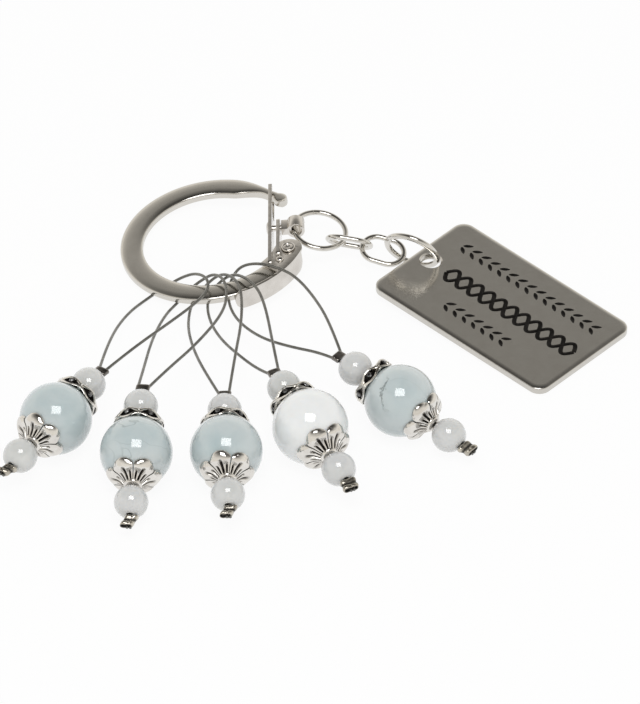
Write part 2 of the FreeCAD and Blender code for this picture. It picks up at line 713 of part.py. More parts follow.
def marker_frame(marker, bead_r):
    """Placement of a marker: +Z toward the loop, +X level, origin at the large bead's middle."""
    heading = math.radians(marker["heading"])
    dip = math.radians(marker["dip"])
    to_end = V(math.cos(heading) * math.cos(dip), math.sin(heading) * math.cos(dip), -math.sin(dip))
    level = V(math.sin(heading), -math.cos(heading), 0)
    up = to_end * -1
    turn = FreeCAD.Rotation(level, up.cross(level), up, "ZXY")
    centre = V(marker["at"][0], marker["at"][1], bead_r)
    return FreeCAD.Placement(centre, turn)


def make_marker(number, marker, route):
    """All nodes of one marker, in place."""
    bead_r = plain_bead_r if number == plain_marker else large_bead_r
    place = marker_frame(marker, bead_r)
    at = stations(bead_r)
    name = "marker_%d_" % number
    crimp_bottom = at["top_crimp"]
    join_z = crimp_bottom + loop_hold
    first = V(*route[0])
    sides = [place.multVec(V(side * marker["spread"], 0, join_z)) for side in (-1, 1)]
    sides.sort(key=first.distanceToPoint)
    loop_points = [sides[0]] + [V(*point) for point in route] + [sides[1]]
    loop = cable_tube(name + "cable", loop_points)

    tail_z = at["end_crimp"] - end_crimp_h - strand_tail
    strands = []
    for side in (-1, 1):
        strand = rod(cable_d / 2, V(side * strand_side, 0, tail_z),
                     V(side * strand_side, 0, crimp_bottom + strand_hold))
        strand.Placement = place.multiply(strand.Placement)
        strands.append(strand)
    core = Part.makeCompound(strands)

    def seat(shape, turn=0.0):
        """Moves a shape from the marker's own frame to its place."""
        moved = shape.copy()
        moved.rotate(ORIGIN, Z_AXIS, turn)
        moved.Placement = place.multiply(moved.Placement)
        return moved

    top_crimp = seat(make_crimp(crimp_t, crimp_corner, crimp_bottom, crimp_bottom + crimp_h))
    end_shape = make_crimp(end_crimp_t, end_crimp_corner, at["end_crimp"] - end_crimp_h,
                           at["end_crimp"])
    end_crimp = seat(crease(end_shape, at["end_crimp"] - end_crimp_h / 2))
    beads = Part.makeCompound([make_bead(small_bead_r, at["top_bead"]),
                               make_bead(small_bead_r, at["bottom_bead"])])
    turn = marker["turn"]
    return {
        name + "cable": loop,
        name + "core_strands": core,
        name + "top_crimp": top_crimp.cut([loop] + strands),
        name + "small_beads": seat(beads),
        name + "rondelle_frame": seat(make_rondelle_frame(bead_r), turn),
        name + "rondelle_stones": seat(make_rondelle_stones(bead_r), turn),
        name + "large_bead": seat(make_bead(bead_r, 0)),
        name + "bead_cap": seat(make_bead_cap(bead_r), turn),
        name + "end_crimp": end_crimp.cut(strands),
    }


# ---------------------------------------------------------------- assembly

def in_hoop_frame(shape):
    """Moves a shape from the ring's own frame to its place."""
    shape.Placement = hoop_place.multiply(shape.Placement)
    return shape


def make_nodes():
    """Every node of the set by name."""
    nodes = {
        "hoop": in_hoop_frame(make_hoop()),
        "pivot_rivet": in_hoop_frame(make_pivot_rivet()),
        "gate_lever": in_hoop_frame(make_gate_lever()),
        "detent_stud": in_hoop_frame(make_detent_stud()),
        "swivel_rivet": in_hoop_frame(make_swivel_rivet()),
        "swivel_strap": in_hoop_frame(make_swivel_strap()),
        "ring_a": make_ring(ring_a_r, ring_a_wire, ring_a_centre, ring_a_normal),
        "link_b": make_oval(link_b_size, link_wire, link_b_centre, link_b_along, link_b_normal),
        "link_c": make_oval(link_c_size, link_wire, link_c_centre, link_c_along, link_c_normal),
        "ring_d": make_ring(ring_d_r, ring_d_wire, ring_d_centre, ring_d_normal),
        "tag": make_tag(),
    }
    for number, (marker, route) in enumerate(zip(markers, loop_routes), start=1):
        nodes.update(make_marker(number, marker, route))
    return nodes


os.makedirs("parts", exist_ok=True)
all_nodes = make_nodes()
for node_name, node_shape in all_nodes.items():
    solids = node_shape.Solids
    print(node_name, "solids", len(solids), "valid", node_shape.isValid(),
          "volume", round(node_shape.Volume, 2))
    node_shape.exportStep("parts/%s.step" % node_name)
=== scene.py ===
# %% [markdown]
# # Stitch marker set
# Five beaded markers hang on a clasp ring by thin cable loops, and a short chain joins the ring
# to a metal tag. The CAD model is already packed, so the lesson starts by loading it as a fixed
# frame. Every piece made here is put where the CAD piece is, and every piece but the cable loops
# rides on the CAD body that carries it, so nothing has to be fitted by eye and every joint moves
# the right pieces.

# %% Load the frame
import math

import bmesh
import bpy
import numpy as np
from mathutils import Matrix, Vector


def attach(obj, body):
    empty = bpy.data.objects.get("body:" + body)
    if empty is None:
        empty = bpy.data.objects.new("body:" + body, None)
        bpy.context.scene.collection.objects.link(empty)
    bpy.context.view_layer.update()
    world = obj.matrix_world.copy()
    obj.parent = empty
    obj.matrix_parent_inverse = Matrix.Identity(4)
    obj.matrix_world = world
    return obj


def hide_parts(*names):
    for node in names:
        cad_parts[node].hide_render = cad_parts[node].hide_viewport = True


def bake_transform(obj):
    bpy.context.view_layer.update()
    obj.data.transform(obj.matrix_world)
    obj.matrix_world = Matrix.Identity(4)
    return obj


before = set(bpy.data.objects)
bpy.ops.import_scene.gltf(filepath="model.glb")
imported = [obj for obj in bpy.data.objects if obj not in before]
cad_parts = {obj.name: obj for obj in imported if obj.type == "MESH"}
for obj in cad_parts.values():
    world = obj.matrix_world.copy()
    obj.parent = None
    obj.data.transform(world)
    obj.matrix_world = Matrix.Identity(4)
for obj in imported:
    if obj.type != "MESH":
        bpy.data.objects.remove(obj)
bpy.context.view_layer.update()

# %% [markdown]
# ## Camera
# The photograph looks down at the set from the front, from far away, so that there is almost no
# perspective. A camera with a very long lens two metres away gives that. The lens follows from
# how many of the picture's pixels cover one metre at the set.

# %% Photo camera
picture_width = 640
pixels_per_metre = 6050.0
camera_rise = math.radians(40.4)
camera_distance = 2.0
aim = Vector((0.00066, -0.00003, 0.0030))
toward_camera = Vector((0.0, -math.cos(camera_rise), math.sin(camera_rise)))

camera_data = bpy.data.cameras.new("photo_camera")
camera_data.sensor_fit = "HORIZONTAL"
camera_data.sensor_width = 36.0
camera_data.lens = camera_data.sensor_width * pixels_per_metre * camera_distance / picture_width
camera_data.clip_start = 0.05
camera_data.clip_end = 60.0


def stand(name, data, way, distance, target=Vector()):
    """Camera or lamp that stands some way off and looks at a target."""
    made = bpy.data.objects.new(name, data)
    made.location = target + way * distance
    made.rotation_euler = way.to_track_quat("Z", "Y").to_euler()
    bpy.context.scene.collection.objects.link(made)
    return made


bpy.context.scene.camera = stand("photo_camera", camera_data, toward_camera, camera_distance, aim)
bpy.context.scene.view_settings.view_transform = "Standard"
print("lens", round(camera_data.lens, 1), "mm")

# %% [markdown]
# ## Floor and light
# The set lies on a white table in a light tent. The floor is white by its own colour, with a
# faint shadow left under the pieces. The tent is the world: white all round and grey high up at
# the back. That grey is what the flat nickel faces mirror toward a viewer in front, and it gives
# them their dark middle between bright edges. One soft lamp over the front makes the small
# square highlight that sits on every bead.

# %% White floor with a faint shadow
def feed(socket, value):
    """Links an output into a socket, or writes a number or a colour there."""
    if isinstance(value, bpy.types.NodeSocket):
        socket.id_data.links.new(value, socket)
    else:
        socket.default_value = (*value, 1) if socket.type == "RGBA" else value


def wire_up(node, inputs):
    """Feeds a node's inputs, given by name or number."""
    for key, value in inputs.items():
        feed(node.inputs[key], value)
    return node


def add_node(tree, kind, inputs=None, **settings):
    """New node of a tree with its settings and inputs."""
    node = tree.nodes.new(kind)
    for key, value in settings.items():
        setattr(node, key, value)
    return wire_up(node, inputs or {})


def calc(operation, *values):
    """One step of a formula: a Math node in the tree that its outputs come from."""
    tree = next(value for value in values if isinstance(value, bpy.types.NodeSocket)).id_data
    return add_node(tree, "ShaderNodeMath", dict(enumerate(values)), operation=operation).outputs[0]


def plus(first, second):
    """Sum of two values."""
    return calc("ADD", first, second)


def minus(first, second):
    """Difference of two values."""
    return calc("SUBTRACT", first, second)


def times(first, second):
    """Product of two values."""
    return calc("MULTIPLY", first, second)


def new_material(name):
    """Material with its node tree, and its shader ready to be fed."""
    material = bpy.data.materials.new(name)
    material.use_nodes = True
    tree = material.node_tree
    return material, tree, tree.nodes["Principled BSDF"]


glow_share = 0.93
floor_white, tree, shader = new_material("floor_white")
wire_up(shader, {"Base Color": (0.86, 0.86, 0.86), "Roughness": 0.9, "Specular IOR Level": 0.1})
rays = add_node(tree, "ShaderNodeLightPath").outputs
seen = calc("MAXIMUM", rays["Is Camera Ray"], rays["Is Glossy Ray"])
seen = calc("MAXIMUM", seen, rays["Is Transmission Ray"])
glow = add_node(tree, "ShaderNodeEmission", {"Color": (1, 1, 1)})
floor_look = add_node(tree, "ShaderNodeMixShader", {
    0: times(seen, glow_share), 1: shader.outputs[0], 2: glow.outputs[0]})
wire_up(tree.nodes["Material Output"], {"Surface": floor_look.outputs[0]})

floor_mesh = bpy.data.meshes.new("table_top")
reach = 12.0
floor_mesh.from_pydata(
    [(-reach, -reach, 0), (reach, -reach, 0), (reach, reach, 0), (-reach, reach, 0)],
    [], [(0, 1, 2, 3)])
floor_mesh.materials.append(floor_white)
floor = bpy.data.objects.new("table_top", floor_mesh)
bpy.context.scene.collection.objects.link(floor)

# %% The light tent
def eased(value, low, high, first=0.0, last=1.0):
    """Smooth step of a value, from first at low to last at high."""
    return add_node(value.id_data, "ShaderNodeMapRange", {
        "Value": value, "From Min": low, "From Max": high, "To Min": first, "To Max": last},
        interpolation_type="SMOOTHSTEP").outputs["Result"]


def mix_colour(share, first, second):
    """Colour between two colours, each an output or an RGB triple."""
    return add_node(share.id_data, "ShaderNodeMix", {"Factor": share, 6: first, 7: second},
                    data_type="RGBA").outputs[2]


def tent_wall(height, tones):
    """Tone of a wall of the tent by height: white low down, darker toward the roof."""
    falloff = add_node(height.id_data, "ShaderNodeValToRGB", {"Fac": height})
    falloff.color_ramp.interpolation = "EASE"
    stops = falloff.color_ramp.elements
    while len(stops) < len(tones):
        stops.new(0.5)
    for stop, (position, tone) in zip(stops, tones):
        stop.position = position
        stop.color = (tone, tone * 0.97, tone * 0.91, 1)
    return falloff.outputs["Color"]


world = bpy.data.worlds.new("light_tent")
bpy.context.scene.world = world
world.use_nodes = True
tree = world.node_tree
direction = add_node(tree, "ShaderNodeTexCoord").outputs["Generated"]
parts = add_node(tree, "ShaderNodeSeparateXYZ", {0: direction}).outputs
front_wall = tent_wall(parts["Z"], ((0.42, 1.0), (0.62, 0.72), (0.80, 0.26), (0.92, 0.10),
                                    (1.0, 0.06)))
back_wall = tent_wall(parts["Z"], ((0.34, 1.0), (0.50, 0.66), (0.65, 0.37), (0.80, 0.19),
                                   (0.93, 0.075), (1.0, 0.06)))
tent_colour = mix_colour(eased(parts["Y"], -0.30, 0.15), front_wall, back_wall)
mirrored = wire_up(tree.nodes["Background"], {"Color": tent_colour, "Strength": 0.92})
soft_light = add_node(tree, "ShaderNodeBackground", {"Color": (1.0, 0.995, 0.985),
                                                     "Strength": 0.68})
diffuse = add_node(tree, "ShaderNodeLightPath").outputs["Is Diffuse Ray"]
either = add_node(tree, "ShaderNodeMixShader", {
    0: diffuse, 1: mirrored.outputs[0], 2: soft_light.outputs[0]})
wire_up(tree.nodes["World Output"], {"Surface": either.outputs[0]})

# %% The soft lamp over the front
lamp_rise = math.radians(67.0)
lamp_side = math.radians(-3.0)
lamp_distance = 0.60
toward_lamp = Vector((math.sin(lamp_side) * math.cos(lamp_rise),
                      -math.cos(lamp_side) * math.cos(lamp_rise), math.sin(lamp_rise)))
lamp_data = bpy.data.lights.new("soft_lamp", "AREA")
lamp_data.shape = "RECTANGLE"
lamp_data.size = 0.30
lamp_data.size_y = 0.26
lamp_data.energy = 1.25
lamp = stand("soft_lamp", lamp_data, toward_lamp, lamp_distance)
print("lamp", [round(x, 3) for x in lamp.location])

# %% [markdown]
# ## Tools of the bench
# Every piece is drawn in millimetres in its own simple position, as on a workshop drawing, and is
# moved to its place in the set at the end, when the numbers become metres. Most pieces are a
# skin over a stack of closed rings: a turned bead, a swept wire and a pressed crimp are all that.
# The helper closes the ends, turns the faces outward and smooths what isn't a crease.

# %% Skin over rings
MM = 0.001


def write_back(bm, mesh):
    """Writes an edit mesh to a mesh and frees it."""
    bm.to_mesh(mesh)
    bm.free()


def turn_outward(mesh):
    """Flips all faces if the closed surface is inside out."""
    bm = bmesh.new()
    bm.from_mesh(mesh)
    if bm.calc_volume(signed=True) < 0:
        bmesh.ops.reverse_faces(bm, faces=bm.faces)
        bm.to_mesh(mesh)
    bm.free()


def finish_mesh(mesh, crease=35.0, weld=0.0):
    """Welds doubles, turns faces outward and shades smooth, with creases kept sharp."""
    if weld:
        bm = bmesh.new()
        bm.from_mesh(mesh)
        bmesh.ops.remove_doubles(bm, verts=bm.verts, dist=weld)
        bmesh.ops.dissolve_degenerate(bm, edges=bm.edges, dist=weld)
        write_back(bm, mesh)
    turn_outward(mesh)
    mesh.shade_smooth()
    mesh.set_sharp_from_angle(angle=math.radians(crease))


def new_object(name, mesh):
    """Object that holds a mesh, in the scene."""
    made = bpy.data.objects.new(name, mesh)
    bpy.context.scene.collection.objects.link(made)
    return made


def skin(name, rings, loop=False, painted_shade_and_patina=None, crease=35.0, weld=0.0):
    """Closed surface over a stack of closed rings, an array of (ring, point, xyz)."""
    rings = np.asarray(rings, float)
    rows, sides = rings.shape[:2]
    points = rings.reshape(-1, 3)
    row = np.arange(rows if loop else rows - 1)[:, None]
    side = np.arange(sides)[None, :]
    after_row, after_side = (row + 1) % rows, (side + 1) % sides
    quads = np.stack([row * sides + side, row * sides + after_side,
                      after_row * sides + after_side, after_row * sides + side], -1)
    faces = quads.reshape(-1, 4).tolist()
    if not loop:
        points = np.vstack([points, rings[0].mean(0), rings[-1].mean(0)])
        low, high, base = rows * sides, rows * sides + 1, (rows - 1) * sides
        faces += [(low, (k + 1) % sides, k) for k in range(sides)]
        faces += [(high, base + k, base + (k + 1) % sides) for k in range(sides)]
    mesh = bpy.data.meshes.new(name)
    mesh.from_pydata(points.tolist(), [], faces)
    # The marks of painted shade and patina are kept on the points for the finish to read.
    if painted_shade_and_patina is not None:
        marks = np.zeros(len(points))
        marks[:rows * sides] = np.asarray(painted_shade_and_patina, float).reshape(-1)
        layer = mesh.attributes.new("painted_shade_and_patina", "FLOAT", "POINT")
        layer.data.foreach_set("value", marks)
    finish_mesh(mesh, crease, weld)
    return new_object(name, mesh)


def soften(profile, rounds=2, closed=False):
    """Cuts the corners of a profile again and again, which rounds it."""
    points = [np.array(point, float) for point in profile]
    for _ in range(rounds):
        count = len(points)
        pairs = [(points[k], points[(k + 1) % count])
                 for k in range(count if closed else count - 1)]
        cut = [point for a, b in pairs for point in (a * 0.75 + b * 0.25, a * 0.25 + b * 0.75)]
        points = cut if closed else [points[0]] + cut[1:-1] + [points[-1]]
    return np.array(points)


def turned(name, profile, steps=72, crease=35.0):
    """Turns a closed profile of (radius, height) points about Z."""
    profile = np.asarray(profile, float)
    angles = np.linspace(0, 2 * np.pi, steps, endpoint=False)
    rings = np.stack([np.stack([profile[:, 0] * math.cos(a), profile[:, 0] * math.sin(a),
                                profile[:, 1]], -1) for a in angles])
    return skin(name, rings, loop=True, crease=crease, weld=1e-4)


print("tools ready")

# %% [markdown]
# ## Putting a piece in place
# A finished piece keeps its object at the origin and has its place in its mesh, as the CAD nodes
# have. Then a pattern on object coordinates stays put when the piece is moved or exported. One
# helper does the four steps that every piece needs: place, finish, stand-in and ride.

# %% Put and dress a piece
def put(piece, place):
    """Moves a piece drawn in millimetres to its place in the set, in metres."""
    piece.data.transform(Matrix.Scale(MM, 4) @ place)
    piece.data.update()
    return piece


def dress(piece, body, slot, materials, *nodes):
    """Gives the piece its material, lets it stand for its CAD nodes and ride on its body."""
    if materials:
        piece.data.materials.clear()
        for material in materials:
            piece.data.materials.append(material)
    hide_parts(*nodes)
    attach(piece, body)
    return piece


def joined(name, pieces, crease=35.0):
    """One object out of several; each keeps its own materials."""
    slots = []
    bm = bmesh.new()
    for piece in pieces:
        before = len(bm.faces)
        bm.from_mesh(piece.data)
        bm.faces.ensure_lookup_table()
        own = list(piece.data.materials)
        for material in own:
            if material not in slots:
                slots.append(material)
        for face in bm.faces[before:]:
            if own:
                face.material_index = slots.index(own[face.material_index])
    mesh = bpy.data.meshes.new(name)
    write_back(bm, mesh)
    for material in slots:
        mesh.materials.append(material)
    for piece in pieces:
        bpy.data.objects.remove(piece)
    mesh.shade_smooth()
    mesh.set_sharp_from_angle(angle=math.radians(crease))
    return new_object(name, mesh)


def axes(x, y, z, origin):
    """Matrix with these axes, in millimetres."""
    made = Matrix.Identity(4)
    for column, axis in enumerate((x, y, z, origin)):
        for line in range(3):
            made[line][column] = axis[line]
    return made


# %% [markdown]
# ## Geometry Nodes
# What repeats or follows a rule is grown by a node tree: the band of the clasp ring, the wire of
# the links, the petals and stones round a bead, and the stitches on the tag. A small helper makes
# a tree with named inputs, and another runs it once and keeps the plain mesh it made.

# %% Trees with named inputs
def new_tree(name, **kinds):
    """Geometry tree with inputs of these kinds, the sizes they bring in, and its end node."""
    tree = bpy.data.node_groups.new(name, "GeometryNodeTree")
    for label, kind in kinds.items():
        tree.interface.new_socket(label.replace("_", " "), in_out="INPUT",
                                  socket_type="NodeSocket" + kind)
    tree.interface.new_socket("Geometry", in_out="OUTPUT", socket_type="NodeSocketGeometry")
    size = {socket.name: socket for socket in add_node(tree, "NodeGroupInput").outputs}
    return tree, size, add_node(tree, "NodeGroupOutput")


def chain_nodes(geometry, steps):
    """Puts geometry through a list of (node kind, settings, inputs) one after the other."""
    for kind, settings, inputs in steps:
        geometry = add_node(geometry.id_data, kind, {0: geometry, **inputs}, **settings).outputs[0]
    return geometry


def deliver(geometry, material, target):
    """Makes copies real, gives the mesh its material and hands it out of the tree."""
    wire_up(target, {0: chain_nodes(geometry, [
        ("GeometryNodeRealizeInstances", {}, {}),
        ("GeometryNodeSetMaterial", {}, {"Material": material})])})


def point(tree, **parts):
    """Point or direction out of its X, Y and Z."""
    return add_node(tree, "ShaderNodeCombineXYZ", parts).outputs[0]


def wire_along(path, thickness, sides):
    """Round wire with closed ends along a curve."""
    section = add_node(path.id_data, "GeometryNodeCurvePrimitiveCircle", {
        "Resolution": sides, "Radius": times(thickness, 0.5)})
    return add_node(path.id_data, "GeometryNodeCurveToMesh", {
        "Curve": path, "Profile Curve": section.outputs["Curve"],
        "Fill Caps": True}).outputs["Mesh"]


def evaluated_mesh(made):
    """Mesh of an object with its modifiers run."""
    bpy.context.view_layer.update()
    depsgraph = bpy.context.evaluated_depsgraph_get()
    return bpy.data.meshes.new_from_object(made.evaluated_get(depsgraph))


def grow(tree, name, crease=35.0, weld=0.0, **inputs):
    """Runs a tree once with these inputs and keeps the mesh that it makes."""
    keys = {item.name: item.identifier for item in tree.interface.items_tree}
    seed = new_object(name + "_seed", bpy.data.meshes.new(name + "_seed"))
    modifier = seed.modifiers.new("grow", "NODES")
    modifier.node_group = tree
    for label, value in inputs.items():
        modifier[keys[label.replace("_", " ")]] = value
    mesh = evaluated_mesh(seed)
    mesh.name = name
    bpy.data.objects.remove(seed)
    finish_mesh(mesh, crease, weld)
    return new_object(name, mesh)


print("tree tools ready")

# %% [markdown]
# ## Places of the pieces
# The ring lies tilted, with its left edge on the table. Each marker lies along its own line:
# its local Z runs through the beads toward the loop, and its local X is level. These frames come
# from the same numbers as in the CAD source, so that each piece sits on the CAD piece.

# %% Ring, tag and marker frames
ring_place = (Matrix.Translation((-17.25, 28.60, 2.86))
              @ Matrix.Rotation(math.radians(-7.4), 4, "Y"))
tag_place = (Matrix.Translation((19.10, 23.68, 1.45))
             @ Matrix.Rotation(math.radians(-42.7), 4, "Z")
             @ Matrix.Rotation(math.radians(2.381), 4, "Y"))
markers = (
    {"at": (-42.64, -20.39), "heading": -123.40, "dip": 3.3, "turn": 22.0, "spread": 0.45},
    {"at": (-29.36, -28.80), "heading": -94.10, "dip": 11.2, "turn": 1.0, "spread": 0.80},
    {"at": (-14.66, -28.45), "heading": -88.20, "dip": 2.8, "turn": 11.0, "spread": 0.75},
    {"at": (-0.91, -22.78), "heading": -64.05, "dip": 5.0, "turn": 2.0, "spread": 0.80},
    {"at": (13.87, -15.90), "heading": -38.30, "dip": 11.7, "turn": -2.0, "spread": 0.85},
)
plain_marker = 4
bead_radii = [6.3 if number == plain_marker else 6.0 for number in range(1, 6)]
seat_gap, small_bead_r, bore_r, cap_crown, hub_h = 0.05, 2.85, 0.6, 1.35, 0.65
crimp_h, end_crimp_h = 1.4, 2.1


def marker_frame(marker, bead_r):
    """Matrix of a marker: origin at the large bead's middle, +Z toward the loop, +X level."""
    heading, dip = math.radians(marker["heading"]), math.radians(marker["dip"])
    up = -Vector((math.cos(heading) * math.cos(dip), math.sin(heading) * math.cos(dip),
                  -math.sin(dip)))
    level = Vector((math.sin(heading), -math.cos(heading), 0))
    return axes(level, up.cross(level), up, (marker["at"][0], marker["at"][1], bead_r))


def stations(bead_r):
    """Places along a marker's axis: top bead, top crimp, bottom bead and end crimp."""
    top_bead = bead_r + seat_gap + hub_h + seat_gap + small_bead_r
    top_crimp = top_bead + small_bead_r + seat_gap
    bottom_bead = -(bead_r + cap_crown + 2 * seat_gap + small_bead_r)
    return top_bead, top_crimp, bottom_bead, bottom_bead - small_bead_r - seat_gap


frames = [marker_frame(marker, bead_r) for marker, bead_r in zip(markers, bead_radii)]
bead_frames = [place @ Matrix.Rotation(math.radians(marker["turn"]), 4, "Z")
               for place, marker in zip(frames, markers)]


def dress_part(piece, body, number, part, slot, materials=None):
    """Puts a piece on a marker, or on its turning beads, and dresses it."""
    place = (bead_frames if body == "beads" else frames)[number - 1]
    return dress(put(piece, place), "%s_%d" % (body, number), slot, materials,
                 "marker_%d_%s" % (number, part))


print("marker frames", len(frames))

# %% [markdown]
# ## Cable loops
# Each marker hangs on half a millimetre of coated steel cable. It leaves the top crimp, passes
# under the clasp ring's band, comes back over it and returns to the same crimp. Bent steel cable
# keeps one smooth curve, so its line is a NURBS curve through a few control points. The tube is
# swept along points read from that curve, with a frame that never twists.

# %% Routes of the loops
loop_routes = (
    ((-34.4, 0.3, 4.9), (-31.6, 10.6, 2.1), (-27.6, 17.4, 0.3), (-24.3, 20.2, 0.7),
     (-22.2, 20.0, 2.4), (-20.0, 18.6, 4.4), (-18.1, 16.4, 5.3), (-17.8, 13.7, 5.0),
     (-19.9, 9.9, 5.2), (-24.3, 4.0, 5.9), (-30.4, -3.5, 6.6)),
    ((-28.4, -9.7, 7.4), (-27.1, 1.8, 4.3), (-25.1, 10.8, 1.8), (-23.0, 15.5, 0.6),
     (-20.9, 18.5, 1.1), (-19.0, 19.2, 2.4), (-17.2, 18.5, 4.3), (-15.6, 16.4, 5.4),
     (-14.7, 13.0, 5.6), (-15.2, 6.8, 5.9), (-19.7, -3.2, 7.4), (-24.7, -10.9, 8.2)),
    ((-17.9, -9.8, 6.2), (-20.0, -2.2, 4.6), (-21.2, 5.6, 2.8), (-21.1, 11.6, 1.5),
     (-20.4, 15.7, 0.9), (-18.6, 18.7, 1.3), (-16.8, 19.4, 2.9), (-15.1, 18.0, 4.8),
     (-13.3, 15.3, 5.8), (-12.3, 11.5, 6.0), (-12.3, 3.9, 6.1), (-13.4, -5.9, 6.8)),
    ((-9.4, -8.8, 6.6), (-12.4, -4.2, 5.5), (-15.6, 2.2, 3.6), (-17.6, 8.5, 2.2),
     (-18.2, 14.6, 1.2), (-17.1, 17.7, 1.6), (-15.5, 18.8, 2.9), (-13.6, 18.2, 4.6),
     (-11.3, 15.1, 6.1), (-9.4, 11.6, 6.5), (-8.2, 6.0, 6.8), (-7.2, -2.3, 7.3)),
    ((0.9, -6.4, 8.2), (-4.2, -3.3, 6.9), (-8.8, 0.9, 5.1), (-12.4, 6.5, 3.4),
     (-14.3, 12.2, 2.0), (-14.7, 17.2, 1.7), (-13.8, 19.9, 2.9), (-12.3, 20.6, 4.4),
     (-9.5, 19.4, 5.9), (-6.3, 17.3, 6.7), (-3.4, 14.2, 7.4), (-0.5, 8.8, 7.8),
     (2.2, 0.9, 8.9)),
)
cable_d = 0.0005
cable_sides = 16


def in_metres(spot):
    """A place given in millimetres, in metres."""
    return tuple(x * MM for x in spot)


# %% Smooth line and tube of one loop
def smooth_line(name, points):
    """Points along the NURBS curve that has these control points."""
    curve = bpy.data.curves.new(name, "CURVE")
    curve.dimensions = "3D"
    curve.resolution_u = 24
    spline = curve.splines.new("NURBS")
    spline.points.add(len(points) - 1)
    for control, spot in zip(spline.points, points):
        control.co = (*spot, 1.0)
    spline.order_u = 3
    spline.use_endpoint_u = True
    helper = new_object(name, curve)
    found = np.array([vertex.co[:] for vertex in evaluated_mesh(helper).vertices])
    bpy.data.objects.remove(helper)
    return found


def swept_rings(path, sections):
    """Rings of a section, an array of (x, y) or one per path point, carried along a path."""
    path = np.asarray(path, float)
    ahead = np.gradient(path, axis=0)
    ahead /= np.linalg.norm(ahead, axis=1)[:, None]
    side = np.cross(ahead[0], (0, 0, 1))
    side /= np.linalg.norm(side)
    rings = []
    for k, point in enumerate(path):
        side = side - ahead[k] * np.dot(side, ahead[k])
        side /= np.linalg.norm(side)
        rise = np.cross(side, ahead[k])
        section = sections if np.ndim(sections) == 2 else sections[k]
        rings.append(point + np.outer(section[:, 0], side) + np.outer(section[:, 1], rise))
    return np.array(rings)


def circle(radius, sides=16):
    """Points of a circle."""
    turns = np.linspace(0, 2 * np.pi, sides, endpoint=False)
    return radius * np.stack([np.cos(turns), np.sin(turns)], -1)


loops = []
for number, (place, marker, bead_r) in enumerate(zip(frames, markers, bead_radii), start=1):
    route = [in_metres(spot) for spot in loop_routes[number - 1]]
    join_z = stations(bead_r)[1] + crimp_h * 0.6
    ends = [place @ Vector((side * marker["spread"], 0, join_z)) * MM for side in (-1, 1)]
    ends.sort(key=lambda end: (end - Vector(route[0])).length)
    path = smooth_line("loop_line_%d" % number, [tuple(ends[0])] + route + [tuple(ends[1])])
    rings = swept_rings(path, circle(cable_d / 2, cable_sides))
    loop = skin("cable_loop_%d" % number, rings)
    along = np.append(0, np.cumsum(np.linalg.norm(np.diff(path, axis=0), axis=1))) / MM
    layer = loop.data.attributes.new("along", "FLOAT", "POINT")
    layer.data.foreach_set("value", np.append(np.repeat(along, cable_sides), (0, along[-1])))
    loops.append((loop, path, place @ Vector((0, 0, join_z)) * MM))
    print(loop.name, "length", round(along[-1], 1), "mm, points", len(path))

# %% [markdown]
# ## Finishes
# Real metal is never one flat colour: plating has soft clouds, hairline scratches and hazy
# patches. The antique silver cap is blackened in its hollows, a real patina; the hollows of the
# spacer and of the crimps are darkened too, and there the dark is painted shade. Stone has clouds
# and veins and lets a little light in. Each finish is built from noise on object coordinates, with
# its constant numbers on the shader's own sockets. The darkened hollows come from a value of
# painted shade and patina that the piece's own mesh carries.

# %% Metals
def mottled(place, scale, low, high, detail=3.0, rough=0.55, distortion=0.0):
    """Noise spread over a range of values."""
    noise = add_node(place.id_data, "ShaderNodeTexNoise", {
        "Vector": place, "Scale": scale, "Detail": detail, "Roughness": rough,
        "Distortion": distortion})
    return add_node(place.id_data, "ShaderNodeMapRange", {
        "Value": noise.outputs["Fac"], "From Min": 0.3, "From Max": 0.7, "To Min": low,
        "To Max": high}).outputs["Result"]


def object_place(tree):
    """Object coordinates, so that a pattern stays on its piece."""
    return add_node(tree, "ShaderNodeTexCoord").outputs["Object"]


def raised(height, strength, distance, **over):
    """Bump of a height, over another bump where one is given as Normal."""
    return add_node(height.id_data, "ShaderNodeBump", {
        "Height": height, "Strength": strength, "Distance": distance, **over}).outputs[0]


def metal(name, bright, dull, roughness, hair=0.12, hollow_shade_and_patina=None, dents=0.0):
    """Plated metal: tone clouds, haze, hairlines, hollows darkened as painted shade and patina."""
    material, tree, shader = new_material(name)
    place = object_place(tree)
    colour = mix_colour(mottled(place, 420.0, 0.0, 1.0), bright, dull)
    haze = mottled(place, 900.0, roughness * 0.75, roughness * 1.35, detail=5.0)
    if hollow_shade_and_patina is not None:
        # Marked hollows take the darker tone: painted shade in the spacer and the crimps, the real
        # blackened patina on the antique cap.
        painted_shade_and_patina = add_node(tree, "ShaderNodeAttribute", attribute_name="painted_shade_and_patina").outputs["Fac"]
        colour = mix_colour(painted_shade_and_patina, colour, hollow_shade_and_patina)
        haze = plus(haze, times(painted_shade_and_patina, 0.35))
    stretch = add_node(tree, "ShaderNodeMapping", {
        "Vector": place, "Rotation": (0.3, 0.2, 0.9), "Scale": (700.0, 9000.0, 2500.0)})
    bump = raised(mottled(stretch.outputs[0], 1.0, 0.0, 1.0, detail=2.0), hair, 0.00001)
    if dents:
        bump = raised(mottled(place, 700.0, 0.0, 1.0, detail=1.0), dents, 0.0001, Normal=bump)
    wire_up(shader, {"Base Color": colour, "Roughness": haze, "Metallic": 1.0, "Normal": bump})
    return material


